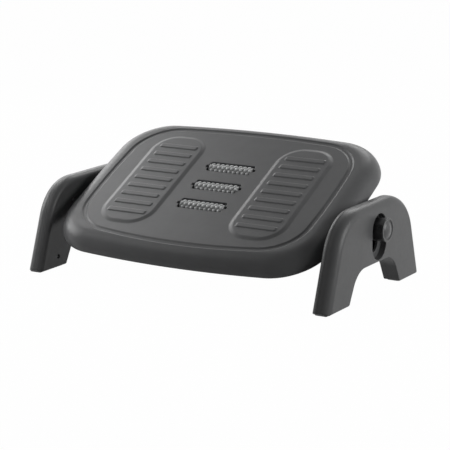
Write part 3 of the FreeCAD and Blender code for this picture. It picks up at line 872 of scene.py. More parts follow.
FINISHES = {
    Slot.TREAD: MouldedPlastic("tread_satin", (0.1, 0.101, 0.103)),
    Slot.CHARCOAL: MouldedPlastic("charcoal_satin", (0.079, 0.08, 0.081)),
    Slot.KNOB: MouldedPlastic("knob_black", (0.02, 0.02, 0.021), 0.3, 0.4, grain_depth=0.01),
    Slot.CAP: MouldedPlastic("cap_grey", (0.058, 0.059, 0.06), 0.34, 0.35, grain_depth=0.003,
                             mottle=0.03),
    # The roller's hollows between its nubs get painted shade in their colour.
    Slot.ROLLER: MouldedPlastic("roller_grey", (0.58, 0.59, 0.59), 0.3, 0.5, grain_depth=0.006,
                                hollow_shade=0.55),
    Slot.NYLON: MouldedPlastic("bearing_nylon", (0.02, 0.02, 0.021), roughness=0.4),
    Slot.RUBBER: SoftRubber("foot_rubber", (0.012, 0.012, 0.012), (0.03, 0.03, 0.03)),
    Slot.STEEL: WorkedMetal("zinc_plate", (0.56, 0.57, 0.58)),
    Slot.BRASS: WorkedMetal("turned_brass", (0.72, 0.53, 0.24), roughness=0.28),
}


class Dresser:
    """Gives pieces their finish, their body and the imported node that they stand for."""

    def __init__(self) -> None:
        """Builds each finish once."""
        self.materials = {slot: finish.material() for slot, finish in FINISHES.items()}

    def dress(self, piece: bpy.types.Object, slot: Slot, body: Body, node: str) -> None:
        """Finishes a new piece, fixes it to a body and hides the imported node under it.

        Args:
            piece: The new piece.
            slot: Its finish.
            body: The body that it moves with.
            node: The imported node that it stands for.
        """
        piece.data.materials.clear()
        piece.data.materials.append(self.materials[slot])
        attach(piece, body.value)
        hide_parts(node)

    def repaint(self, nodes: dict[str, bpy.types.Object]) -> None:
        """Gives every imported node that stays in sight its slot's finish.

        Args:
            nodes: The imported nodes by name.
        """
        by_slot = {slot.value: material for slot, material in self.materials.items()}
        for name, node in nodes.items():
            for holder in node.material_slots:
                if holder.material is not None and holder.material.name in by_slot:
                    holder.material = by_slot[holder.material.name]
            if not node.hide_render:
                log.info("%s: kept as packed", name)


# Platform


@dataclass(frozen=True)
class TreadSkin:
    """The platform's upper shell: domed rim, groove, foot pads, ribs and roller openings.

    Sizes are in the platform's own frame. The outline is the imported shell's. The groove, the pads,
    the ribs and the openings follow a finer measurement.

    Attributes:
        outline: The shell's edge.
        groove: The groove's middle line.
        top: Height of the flat middle.
        bottom: Height of the lower edge.
        wall: The shell's thickness.
        rim_radius: The domed rim's round.
        lower_edge_round: The lower edge's round.
        groove_half_width: From the groove's line to the middle of a lip.
        groove_lip: Half the width of a lip's slope.
        groove_depth: The groove's depth.
        arc_steps: Pieces in each arc of an outline.
        lip_steps: Pieces across each lip of the groove.
        rim_steps: Pieces over the domed rim.
        underside_steps: Pieces under the domed rim.
        pad_x: The foot pads' middle along x.
        pad_v: Their middle along v.
        pad_width: Their size along x, at half height.
        pad_length: Their size along v, at half height.
        pad_corner: Their corners' round.
        pad_slope: Width of the soft slope round them.
        pad_height: Their height.
        pad_steps: Pieces up that slope.
        rib_rows: Ribs on each pad.
        rib_pitch: Their spacing along v.
        rib_v: Their middle row's place.
        rib_length: Their size along x.
        rib_width: Their size along v.
        rib_end_round: Their ends' round.
        rib_end_ease: How much softer the slope at their ends is than at their sides.
        rib_profile: A rib's side as (inset, height): a foot fillet, a steep side and a round top.
        opening_length: An opening's size along x.
        opening_width: Its size along v.
        opening_shift: How far up the slope from the axle it lies.
        opening_corner: Its corners' round.
        opening_edge_round: Its upper edge's round.
        notch_width: Size along v of the notch at each of its ends.
        notch_reach: How far the notch reaches out.
        notch_corner: The notch's round.
        saddle_gap: From the opening's end to the saddle that holds the axle.
        saddle_length: The saddle's size along x.
        saddle_half_width: Half its size along v.
        saddle_drop: How far its foot lies under the axle.
        saddle_mouth: Width of the gap between its prongs at the top.
        axle_seat: Radius of the axle's seat.
        seat_steps: Pieces in the quarter of the seat on each prong.
        sunk: How far the prongs run into the shell's wall.
    """

    outline: BowedOutline = BowedOutline(229.5, -170.4, 156.0, 81.3, 83.4, 1790.0, 2110.0, 3090.0)
    groove: BowedOutline = BowedOutline(193.2, -145.9, 128.0, 67.0, 67.0, 959.0, 1649.0, 1054.0)
    top: float = 49.6
    bottom: float = 21.2
    wall: float = 3.0
    rim_radius: float = 27.6
    lower_edge_round: float = 0.6
    groove_half_width: float = 3.2
    groove_lip: float = 1.7
    groove_depth: float = 1.6
    arc_steps: int = 32
    lip_steps: int = 8
    rim_steps: int = 18
    underside_steps: int = 10
    pad_x: float = 112.2
    pad_v: float = -6.5
    pad_width: float = 88.6
    pad_length: float = 217.5
    pad_corner: float = 36.0
    pad_slope: float = 8.6
    pad_height: float = 1.9
    pad_steps: int = 10
    rib_rows: int = 9
    rib_pitch: float = 20.77
    rib_v: float = -7.2
    rib_length: float = 69.4
    rib_width: float = 11.0
    rib_end_round: float = 3.6
    rib_end_ease: float = 1.7
    rib_profile: tuple[Place, ...] = (
        (0.0, 0.0), (0.35, 0.06), (0.65, 0.25), (0.9, 0.55), (1.15, 0.85),
        (1.45, 1.08), (1.8, 1.22), (2.2, 1.28), (2.7, 1.3))
    opening_length: float = 77.6
    opening_width: float = 22.4
    opening_shift: float = -1.0
    opening_corner: float = 3.0
    opening_edge_round: float = 0.8
    notch_width: float = 5.0
    notch_reach: float = 4.2
    notch_corner: float = 1.0
    saddle_gap: float = 1.2
    saddle_length: float = 4.6
    saddle_half_width: float = 8.0
    saddle_drop: float = 11.0
    saddle_mouth: float = 3.4
    axle_seat: float = 2.06
    seat_steps: int = 6
    sunk: float = 0.3

    def rim_height(self, depth: np.ndarray) -> np.ndarray:
        """Height of the domed rim at a depth inside the outline: a quarter circle, then flat."""
        short = np.clip(self.rim_radius - depth, 0.0, self.rim_radius)
        return self.top - self.rim_radius + np.sqrt(self.rim_radius ** 2 - short ** 2)

    def groove_dip(self, offset: float) -> float:
        """The groove's depth at an offset from its line: even on its floor, an S at each lip."""
        from_lip = (self.groove_half_width + self.groove_lip - abs(offset)) / (2 * self.groove_lip)
        return self.groove_depth * float(smooth_step(np.array(from_lip)))

    def groove_rings(self) -> list[np.ndarray]:
        """Makes the rings across the groove.

        Returns:
            The rings, from its inner lip to its outer one.
        """
        reach = self.groove_half_width + self.groove_lip
        floor = self.groove_half_width - self.groove_lip
        lip = np.linspace(floor, reach, self.lip_steps + 1)
        rings = []
        for offset in [*-lip[::-1], *lip]:
            loop = self.groove.loop(offset, self.arc_steps)
            height = self.rim_height(self.outline.depth(loop)) - self.groove_dip(offset)
            rings.append(at_height(loop, height))
        rings[0][:, 2] = self.top
        return rings

    def rim_rings(self, inner: np.ndarray) -> list[np.ndarray]:
        """Makes the rings from the groove's outer lip over the rim, and round the lower edge.

        A ring is a mix of the lip's loop and the outline, by the sine of an angle that grows in
        equal steps, so that the rings crowd where the rim is steep.

        Args:
            inner: The groove's outer loop, as (x, v).

        Returns:
            The rings, outwards and down to the lower face.
        """
        outer = self.outline.loop(0.0, self.arc_steps)
        rings = []
        for share in np.sin(np.linspace(0, math.pi / 2, self.rim_steps + 1)[1:]):
            loop = inner * (1 - share) + outer * share
            rings.append(at_height(loop, self.rim_height(self.outline.depth(loop))))
        for inset, drop in quarter_round(self.lower_edge_round, steps=4)[::-1]:
            loop = self.outline.loop(-inset, self.arc_steps)
            rings.append(at_height(loop, self.bottom + drop))
        return rings

    def inner_rings(self) -> list[np.ndarray]:
        """Makes the rings of the inner wall, which runs parallel to the domed rim.

        Returns:
            The rings, from the lower face up to the shell's underside.
        """
        inner_radius = self.rim_radius - self.wall
        rings = []
        for inset, drop in quarter_round(self.lower_edge_round, steps=3):
            loop = self.outline.loop(-self.wall + inset, self.arc_steps)
            rings.append(at_height(loop, self.bottom + drop))
        for angle in np.linspace(math.pi / 2, 0, self.underside_steps + 1):
            inset = self.rim_radius - inner_radius * math.sin(angle)
            height = self.top - self.rim_radius + inner_radius * math.cos(angle)
            rings.append(at_height(self.outline.loop(-inset, self.arc_steps), height))
        return rings

    def pad_outline(self, side: Side, inset: float) -> RoundedPolygon:
        """A foot pad's outline at half height, moved inwards."""
        return rounded_rectangle(self.pad_width - 2 * inset, self.pad_length - 2 * inset,
                                 self.pad_corner - inset, (side.value * self.pad_x, self.pad_v))

    def pad_rings(self, side: Side) -> list[np.ndarray]:
        """Makes the rings up a foot pad's soft slope: the height is an S-curve of the inset.

        Args:
            side: Whose pad it is.

        Returns:
            The rings, upwards.
        """
        rings = []
        for share in np.linspace(0, 1, self.pad_steps + 1):
            outline = self.pad_outline(side, (share - 0.5) * self.pad_slope)
            loop = outline.loop(arc_steps=20, edge_steps=2)
            height = self.top + self.pad_height * float(smooth_step(np.array(share)))
            rings.append(at_height(loop, height))
        return rings

    def rib_rings(self, side: Side, row: int) -> list[np.ndarray]:
        """Makes the rings of one rib.

        Args:
            side: The pad that it lies on.
            row: Its row, front first.

        Returns:
            The rings, upwards.
        """
        centre_v = self.rib_v + self.rib_pitch * (row - (self.rib_rows - 1) / 2)
        rings = []
        for inset, height in self.rib_profile:
            outline = rounded_rectangle(
                self.rib_length - 2 * inset * self.rib_end_ease, self.rib_width - 2 * inset,
                self.rib_end_round - inset, (side.value * self.pad_x, centre_v))
            loop = outline.loop(arc_steps=8, edge_steps=2)
            rings.append(at_height(loop, self.top + self.pad_height + height))
        return rings

    def opening_outline(self, centre_v: float) -> RoundedPolygon:
        """Draws a roller's opening, with a notch at both ends for the axle.

        Args:
            centre_v: The axle along the slope.

        Returns:
            The outline.
        """
        end, side = self.opening_length / 2, self.opening_width / 2
        notch_end, notch_side = end + self.notch_reach, self.notch_width / 2
        quarter = np.array([(end, -side), (end, -notch_side), (notch_end, -notch_side)])
        right = np.concatenate([quarter, quarter[::-1] * (1, -1)])
        corners = np.concatenate([right, right * (-1, -1)]) + (0.0, centre_v + self.opening_shift)
        half_radii = [self.opening_corner, *[self.notch_corner] * 4, self.opening_corner]
        return RoundedPolygon(corners, np.array(half_radii * 2))

    def opening_rings(self, centre_v: float) -> list[np.ndarray]:
        """Makes the rings of a roller's opening: a round upper edge and a straight wall.

        Args:
            centre_v: The axle along the slope.

        Returns:
            The rings, down to the shell's underside.
        """
        outline = self.opening_outline(centre_v)
        rings = []
        for inset, drop in quarter_round(self.opening_edge_round, steps=5):
            grown = outline.moved_in(np.full(len(outline.corners), -inset))
            rings.append(at_height(grown.loop(arc_steps=6, edge_steps=2), self.top - drop))
        wall = rings[-1].copy()
        wall[:, 2] = self.top - self.wall
        return [*rings, wall]

    def prong_rings(self, centre_v: float, axle_n: float, end: int, side: int) -> list[np.ndarray]:
        """Makes the rings down one prong of a saddle, from inside the tread's wall to its foot.

        The inner face is straight at the mouth, follows the axle's round seat and is straight
        again below the axle. On the seat, v squared and the height over the axle squared make the
        seat's radius squared.

        Args:
            centre_v: The axle along the slope.
            axle_n: The axle's height.
            end: 1 for the opening's right end, and -1 for its left end.
            side: 1 for the prong up the slope, and -1 for the one down it.

        Returns:
            The rings, downwards.
        """
        mouth = self.saddle_mouth / 2
        start = math.asin(mouth / self.axle_seat)
        seat = np.linspace(start, math.pi / 2, self.seat_steps + 1)
        inner = np.concatenate([[mouth], self.axle_seat * np.sin(seat), [self.axle_seat]])
        heights = np.concatenate([
            [self.top - self.wall + self.sunk],
            axle_n + self.axle_seat * np.cos(seat),
            [axle_n - self.saddle_drop],
        ])
        x0 = end * (self.opening_length / 2 + self.saddle_gap)
        x1 = x0 + end * self.saddle_length
        outer = centre_v + side * self.saddle_half_width
        rings = []
        for reach, height in zip(inner, heights):
            v = centre_v + side * reach
            rings.append(at_height(np.array([(x0, v), (x1, v), (x1, outer), (x0, outer)]), height))
        return rings

    def skin(self, plane: TiltedPlane) -> Skin:
        """Gathers the whole shell: groove and rim, inner wall, pads, ribs, openings and saddles.

        Args:
            plane: The platform's frame.

        Returns:
            The surfaces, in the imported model's frame.
        """
        groove = self.groove_rings()
        rim = self.rim_rings(groove[-1][:, :2])
        inner = self.inner_rings()
        skin = Skin()
        skin.band([*groove, *rim, *inner])
        openings = [self.opening_rings(v) for v in plane.roller_v]
        pads = []
        for side in Side:
            pad = self.pad_rings(side)
            ribs = [self.rib_rings(side, row) for row in range(self.rib_rows)]
            skin.band(pad)
            skin.fill([pad[-1], *(rib[0] for rib in ribs)])
            for rib in ribs:
                skin.band(rib)
                skin.fill([rib[-1]])
            pads.append(pad[0])
        for opening in openings:
            skin.band(opening)
        skin.fill([groove[0], *pads, *(opening[0] for opening in openings)])
        skin.fill([inner[-1], *(opening[-1] for opening in openings)])
        for v, end, prong_side in itertools.product(plane.roller_v, (1, -1), (1, -1)):
            prong = self.prong_rings(v, plane.roller_n, end, prong_side)
            skin.band(prong)
            skin.fill([prong[0]])
            skin.fill([prong[-1]])
        skin.points = [plane.place(points) for points in skin.points]
        return skin


@dataclass(frozen=True)
class MassageRoller:
    """A roller covered in rows of round nubs, with a bore for its axle.

    Attributes:
        radius: Reach of the nubs.
        nub_height: How far they stand out of the core.
        nub_radius: Half their width.
        nub_fullness: Power of the nubs' dome: a half is round, and more is more pointed.
        nub_pitch: Their spacing along the roller.
        rows: Rows round the roller, staggered.
        plain_end: Length of the smooth core at each end.
        fade: Length over which the nubs grow from there.
        bore: Radius of the axle's hole.
        hub_radius: Radius of the hub at each end.
        hub_chamfer: The chamfer round the hub's face.
        moat_depth: Depth of the ring sunk round the hub.
        moat_floor: That ring's width at its floor.
        moat_width: Its width at the end face.
        end_round: The core's round at each end.
        overhang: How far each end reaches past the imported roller's.
        length_steps: Pieces along the roller.
        turn_steps: Pieces round it.
    """

    radius: float = 9.7
    nub_height: float = 2.0
    nub_radius: float = 3.3
    nub_fullness: float = 0.6
    nub_pitch: float = 7.85
    rows: int = 8
    plain_end: float = 0.4
    fade: float = 2.0
    bore: float = 2.06
    hub_radius: float = 4.4
    hub_chamfer: float = 0.3
    moat_depth: float = 0.5
    moat_floor: float = 0.8
    moat_width: float = 1.2
    end_round: float = 1.2
    overhang: float = 1.8
    length_steps: int = 140
    turn_steps: int = 96

    def nub_rise(self, x: np.ndarray, angle: np.ndarray) -> np.ndarray:
        """How far the surface stands out of the core.

        Two lattices of nub centres are staggered by half a pitch and one row. A nub is a dome: its
        height is a power of one less the squared distance from its centre, in nub radii.

        Args:
            x: Places along the roller.
            angle: Places round it.

        Returns:
            The rise at each place.
        """
        core = self.radius - self.nub_height
        pair_turn = 2 * (FULL_TURN / self.rows)
        nearest = np.full(np.broadcast(x, angle).shape, np.inf)
        for shift in (0.0, 0.5):
            along = (np.mod(x / self.nub_pitch - shift + 0.5, 1) - 0.5) * self.nub_pitch
            around = (np.mod(angle / pair_turn - shift + 0.5, 1) - 0.5) * pair_turn * core
            nearest = np.minimum(nearest, np.hypot(along, around))
        share = np.clip(1 - (nearest / self.nub_radius) ** 2, 0, 1)
        return self.nub_height * share ** self.nub_fullness

    def skin(self, low_x: float, high_x: float, axis: Place) -> Skin:
        """Gathers the roller as rings along X, whose radius is the core's with the nubs' rise.

        Args:
            low_x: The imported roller's left end.
            high_x: Its right end.
            axis: Its axle, as (y, z).

        Returns:
            The surfaces.
        """
        low_x, high_x = low_x - self.overhang, high_x + self.overhang
        x = np.linspace(low_x, high_x, self.length_steps + 1)[:, None]
        angle = np.linspace(0, FULL_TURN, self.turn_steps + 1)[None, :-1]
        from_end = np.minimum(x - low_x, high_x - x)
        core = self.radius - self.nub_height
        short = np.clip(self.end_round - from_end, 0, self.end_round)
        drawn_in = self.end_round - np.sqrt(self.end_round ** 2 - short ** 2)
        fade = smooth_step((from_end - self.plain_end) / self.fade)
        radius = core - drawn_in + self.nub_rise(x, angle) * fade
        rings = self.rings(x, radius, angle, axis)
        skin = Skin()
        skin.band(rings)
        for end, end_x, floor_x in ((0, low_x, low_x + self.moat_depth),
                                    (-1, high_x, high_x - self.moat_depth)):
            face = np.array([
                (self.hub_radius + self.moat_width, end_x),
                (self.hub_radius + self.moat_floor, floor_x),
                (self.hub_radius, floor_x),
                (self.hub_radius - self.hub_chamfer, end_x),
                (self.bore, end_x),
            ])
            skin.band([rings[end], *self.rings(face[:, 1:], face[:, :1], angle, axis)])
        skin.band(self.rings(x[[0, -1]], np.full((2, 1), self.bore), angle, axis))
        return skin

    def store_hollows(self, piece: bpy.types.Object, axis: Place) -> None:
        """Keeps each point's share of the way from the nubs' tops down to the core.

        The finish reads it to paint shade into the hollows between the nubs.

        Args:
            piece: The roller's piece.
            axis: Its axle, as (y, z).
        """
        points = np.empty(3 * len(piece.data.vertices))
        piece.data.vertices.foreach_get("co", points)
        _, y, z = points.reshape(-1, 3).T / MM
        share = (self.radius - np.hypot(y - axis[0], z - axis[1])) / self.nub_height
        layer = piece.data.attributes.new(HOLLOW_LAYER, "FLOAT", "POINT")
        layer.data.foreach_set("value", np.clip(share, 0, 1).astype(np.float32))

    @staticmethod
    def rings(x: np.ndarray, radius: np.ndarray, angle: np.ndarray, axis: Place) -> np.ndarray:
        """Turns places along, out from and round an axis into points.

        Args:
            x: Places along it, one row for each ring.
            radius: Distances from it, one for each ring or for each point.
            angle: Angles round it, one column for each point of a ring.
            axis: The axis, as (y, z).

        Returns:
            The points, one ring for each x.
        """
        radius, angle, x = np.broadcast_arrays(radius, angle, x)
        y = axis[0] + radius * np.cos(angle)
        z = axis[1] + radius * np.sin(angle)
        return np.stack([x, y, z], axis=-1)


# Legs


@dataclass(frozen=True)
class LegForm:
    """Side view of a leg: two feet, an arch between them, and sloping sides up to the shoulders.

    Attributes:
        top: Height of the top.
        front: Where the front side would meet the ground, along Y.
        rear: Where the rear side would meet it.
        front_lean: The front side's lean in degrees.
        rear_lean: The rear side's lean in degrees.
        shoulder: The shoulders' round.
        arch_front: Where the arch's front side would meet the ground.
        arch_rear: Where its rear side would meet it.
        arch_height: The arch's height.
        arch_lean: Its sides' lean in degrees.
        arch_corner: Its corners' round.
        sole: Height of the soles over the ground.
        toe_round: The toes' round.
        low_edges: Edges of the soles and the arch, which come first in the outline.
        arc_steps: Pieces in each round of the outline.
        edge_steps: Pieces in each straight edge of it.
        side_steps: Pieces round the edge of a side face.
    """

    top: float = 136.0
    front: float = -149.7
    rear: float = 152.3
    front_lean: float = 19.7
    rear_lean: float = 17.7
    shoulder: float = 74.0
    arch_front: float = -80.3
    arch_rear: float = 86.7
    arch_height: float = 47.0
    arch_lean: float = 28.8
    arch_corner: float = 40.0
    sole: float = 1.5
    toe_round: float = 4.2
    low_edges: int = 5
    arc_steps: int = 18
    edge_steps: int = 4
    side_steps: int = 17

    def outline(self) -> RoundedPolygon:
        """Draws the side view.

        Returns:
            The outline as (y, z), from the front foot round the arch to the shoulders.
        """
        front, rear, arch = np.tan(np.radians([self.front_lean, self.rear_lean, self.arch_lean]))
        corners = np.array([
            (self.front + front * self.sole, self.sole),
            (self.arch_front + arch * self.sole, self.sole),
            (self.arch_front + arch * self.arch_height, self.arch_height),
            (self.arch_rear - arch * self.arch_height, self.arch_height),
            (self.arch_rear - arch * self.sole, self.sole),
            (self.rear - rear * self.sole, self.sole),
            (self.rear - rear * self.top, self.top),
            (self.front + front * self.top, self.top),
        ])
        toe = self.toe_round
        radii = np.array([toe, toe, self.arch_corner, self.arch_corner, toe, toe,
                          self.shoulder, self.shoulder])
        return RoundedPolygon(corners, radii)

    def edge_sizes(self, low: float, rear: float, top: float, front: float) -> np.ndarray:
        """One size for each edge: the same for the soles and the arch, then the three sides."""
        return np.array([low] * self.low_edges + [rear, top, front])

    def loop(self, insets: np.ndarray) -> np.ndarray:
        """Points of the side view with each edge moved inwards by its own distance."""
        return self.outline().moved_in(insets).loop(self.arc_steps, self.edge_steps)

    def edge_rings(self, face_x: float, towards: float, rounds: np.ndarray) -> list[np.ndarray]:
        """Makes the rings from a side face round its edge to where every round has ended.

        An edge is moved in by its round less the root of the round squared less the rest squared,
        where the rest is the round less the depth below the face.

        Args:
            face_x: Where the side face lies.
            towards: 1 if depth grows along +X, and -1 if along -X.
            rounds: The round of each edge of the outline.

        Returns:
            The rings, from the face inwards.
        """
        rings = []
        angles = np.linspace(0, math.pi / 2, self.side_steps + 1)
        for depth in rounds.max() * (1 - np.cos(angles)):
            short = np.clip(rounds - depth, 0, None)
            insets = rounds - np.sqrt(rounds ** 2 - short ** 2)
            rings.append(at_depth(self.loop(insets), face_x + towards * depth))
        return rings

    def plain(self, inset: float, x: float) -> np.ndarray:
        """The side view moved inwards all round, at one depth."""
        return at_depth(self.loop(self.edge_sizes(inset, inset, inset, inset)), x)


@dataclass(frozen=True)
class Leg:
    """A hollow leg of two shells, with the height slot and the holes and posts for four screws.

    Attributes:
        form: The side view.
        wall: The shells' thickness.
        outer_rounds: Rounds of the outer face's edge at the rear, the top and the front.
        inner_round: Round of the inner face's edge there.
        small_round: Round of both faces' edges at the soles and the arch.
        cover_width: The cover's size along X.
        seam_chamfer: The chamfer at the seam.
        travel: How far the pivot slides down.
        pocket_radius: Half the width of the outer face's pocket.
        pocket_depth: Its depth.
        pocket_edge_round: Its edge's round.
        pocket_wall: The wall round it inside the leg.
        ledge_thickness: Thickness of the ledge at its floor.
        ledge_slot_radius: Half the width of the slot in the ledge.
        ledge_edge_round: That slot's edge's round, and the cover slot's.
        cover_slot_radius: Half the width of the slot in the cover.
        slot_steps: Pieces in each end of a slot.
        lip_height: How far the cover's locating lip reaches into the shell.
        lip_wall: The lip's thickness.
        lip_gap: Its gap to the shell.
        screw_places: The screws, as (y, z).
        screw_recess: Depth of the hole for a screw's head.
        screw_head_hole: Its radius.
        screw_edge_round: Its edge's round.
        screw_free_hole: Radius of the hole for the screw's shank in the cover.
        screw_pilot: Radius of the hole for its thread in the shell.
        screw_pilot_depth: Depth of that hole.
        post_radius: Radius of the posts round the screws.
        post_steps: Pieces round a post of the shell.
        hole_steps: Pieces round a post of the cover and its hole.
    """

    form: LegForm = LegForm()
    wall: float = 3.0
    outer_rounds: tuple[float, float, float] = (6.0, 13.0, 14.0)
    inner_round: float = 8.7
    small_round: float = 1.7
    cover_width: float = 9.0
    seam_chamfer: float = 0.25
    travel: float = 22.9
    pocket_radius: float = 23.0
    pocket_depth: float = 9.5
    pocket_edge_round: float = 0.9
    pocket_wall: float = 2.5
    ledge_thickness: float = 4.0
    ledge_slot_radius: float = 13.0
    ledge_edge_round: float = 0.5
    cover_slot_radius: float = 10.05
    slot_steps: int = 28
    lip_height: float = 2.5
    lip_wall: float = 1.5
    lip_gap: float = 0.15
    screw_places: tuple[Place, ...] = (
        (-100.5, 17.7), (107.5, 17.7), (-58.2, 100.0), (79.8, 100.0))
    screw_recess: float = 6.0
    screw_head_hole: float = 3.6
    screw_edge_round: float = 0.4
    screw_free_hole: float = 1.9
    screw_pilot: float = 1.65
    screw_pilot_depth: float = 12.0
    post_radius: float = 5.0
    post_steps: int = 20
    hole_steps: int = 24

    def slot_ring(self, plane: TiltedPlane, radius: float, x: float) -> np.ndarray:
        """The height slot at one radius and depth."""
        y, high = plane.pivot_y, plane.pivot_z
        return at_depth(slot_loop(y, high - self.travel, high, radius, self.slot_steps), x)

    def slot_wall(self, plane: TiltedPlane, radius: float, edge: np.ndarray,
                  reach: Span) -> list[np.ndarray]:
        """Makes the rings down the height slot's wall, from the round edge at its mouth.

        Args:
            plane: The platform's frame, for the pivot.
            radius: Half the slot's width.
            edge: The round edge, as rows of (inset, drop).
            reach: Where the wall starts and ends along X.

        Returns:
            The rings, inwards.
        """
        mouth_x, end_x = reach
        inwards = math.copysign(1.0, end_x - mouth_x)
        rings = [self.slot_ring(plane, radius + inset, mouth_x + inwards * drop)
                 for inset, drop in edge]
        return [*rings, self.slot_ring(plane, radius, end_x)]

    def shell_skin(self, plane: TiltedPlane, seam_x: float, face_x: float) -> Skin:
        """Gathers the outer shell, with its pocket, ledge, hollow and screw posts.

        Args:
            plane: The platform's frame, for the pivot.
            seam_x: Where the two shells meet.
            face_x: The outer face.

        Returns:
            The surfaces of the right leg's shell.
        """
        form = self.form
        skin = Skin()
        edge = form.edge_rings(face_x, -1, form.edge_sizes(self.small_round, *self.outer_rounds))
        seam = [form.plain(0.0, seam_x + self.seam_chamfer), form.plain(self.seam_chamfer, seam_x)]
        cavity_x = face_x - self.wall
        drawn_in = form.loop(form.edge_sizes(self.wall, *self.outer_rounds))
        hollow = [form.plain(self.wall, seam_x),
                  form.plain(self.wall, face_x - max(self.outer_rounds)),
                  at_depth(drawn_in, cavity_x)]
        skin.band([*edge, *seam, *hollow])
        ledge_x = face_x - self.pocket_depth
        back_x = ledge_x - self.ledge_thickness
        pocket_edge = quarter_round(self.pocket_edge_round, steps=5)
        pocket = self.slot_wall(plane, self.pocket_radius, pocket_edge, (face_x, ledge_x))
        ledge_edge = quarter_round(self.ledge_edge_round, steps=3)
        ledge = self.slot_wall(plane, self.ledge_slot_radius, ledge_edge, (ledge_x, back_x))
        tub_radius = self.pocket_radius + self.pocket_wall
        tub = [self.slot_ring(plane, tub_radius, x) for x in (back_x, cavity_x)]
        skin.band([*pocket, *ledge, *tub])
        profile = [(self.post_radius, cavity_x), (self.post_radius, seam_x),
                   (self.screw_pilot, seam_x), (self.screw_pilot, seam_x + self.screw_pilot_depth)]
        posts = []
        for place in self.screw_places:
            post = turned_rings(place, profile, self.post_steps)
            skin.band(post)
            skin.fill([post[-1]])
            posts.append(post[0])
        skin.fill([edge[0], pocket[0]])
        skin.fill([hollow[-1], tub[-1], *posts])
        return skin

    def cover_skin(self, plane: TiltedPlane, face_x: float, seam_x: float) -> Skin:
        """Gathers the inner cover, with its slot, screw holes, posts and locating lip.

        Args:
            plane: The platform's frame, for the pivot.
            face_x: The inner face.
            seam_x: Where the two shells meet.

        Returns:
            The surfaces of the right leg's cover.
        """
        form = self.form
        skin = Skin()
        rounds = form.edge_sizes(self.small_round, *[self.inner_round] * 3)
        edge = form.edge_rings(face_x, 1, rounds)
        lip_x = seam_x + self.lip_height
        lip_outer = self.wall + self.lip_gap
        lip_inner = lip_outer + self.lip_wall
        floor_x = face_x + self.wall
        lip = [form.plain(inset, x) for inset, x in (
            (0.0, seam_x - self.seam_chamfer), (self.seam_chamfer, seam_x), (lip_outer, seam_x),
            (lip_outer, lip_x), (lip_inner, lip_x), (lip_inner, floor_x))]
        skin.band([*edge, *lip])
        slot_edge = quarter_round(self.ledge_edge_round, steps=3)
        slot = self.slot_wall(plane, self.cover_slot_radius, slot_edge, (face_x, floor_x))
        skin.band(slot)
        seat_x = face_x + self.screw_recess
        profile = [(self.screw_head_hole + inset, face_x + drop)
                   for inset, drop in quarter_round(self.screw_edge_round, steps=2)]
        profile += [(self.screw_head_hole, seat_x), (self.screw_free_hole, seat_x),
                    (self.screw_free_hole, seam_x), (self.post_radius, seam_x),
                    (self.post_radius, floor_x)]
        posts = [turned_rings(place, profile, self.hole_steps) for place in self.screw_places]
        for post in posts:
            skin.band(post)
        skin.fill([edge[0], slot[0], *(post[0] for post in posts)])
        skin.fill([lip[-1], slot[-1], *(post[-1] for post in posts)])
        return skin


@dataclass(frozen=True)
class RubberFoot:
    """A moulded rubber pad under a leg, with a round lower edge and a shallow grip groove.

    Attributes:
        corner: Round of its corners in plan.
        edge_round: Round of its lower edge.
        groove_inset: Where the grip groove starts, inwards from the edge.
        groove_width: The groove's width.
        groove_slope: The width of each of its sides.
        groove_depth: Its depth.
    """

    corner: float = 3.0
    edge_round: float = 1.4
    groove_inset: float = 3.0
    groove_width: float = 1.6
    groove_slope: float = 0.3
    groove_depth: float = 0.6

    def skin(self, low: np.ndarray, high: np.ndarray) -> Skin:
        """Gathers the pad in its packed box.

        Args:
            low: The box's lowest corner.
            high: Its highest corner.

        Returns:
            The surfaces.
        """
        size = high - low
        outline = rounded_rectangle(size[0], size[1], self.corner, tuple((low[:2] + high[:2]) / 2))
        ground = low[2]
        profile = [(0.0, high[2])]
        profile += [(inset, ground + drop)
                    for inset, drop in quarter_round(self.edge_round, steps=4)[::-1]]
        start = self.groove_inset
        end = start + self.groove_width
        profile += [(start, ground), (start + self.groove_slope, ground + self.groove_depth),
                    (end - self.groove_slope, ground + self.groove_depth), (end, ground)]
        rings = []
        for inset, height in profile:
            smaller = outline.moved_in(np.full(len(outline.corners), inset))
            rings.append(at_height(smaller.loop(arc_steps=6, edge_steps=3), height))
        skin = Skin()
        skin.band(rings)
        skin.fill([rings[0]])
        skin.fill([rings[-1]])
        return skin


# Clamp knob


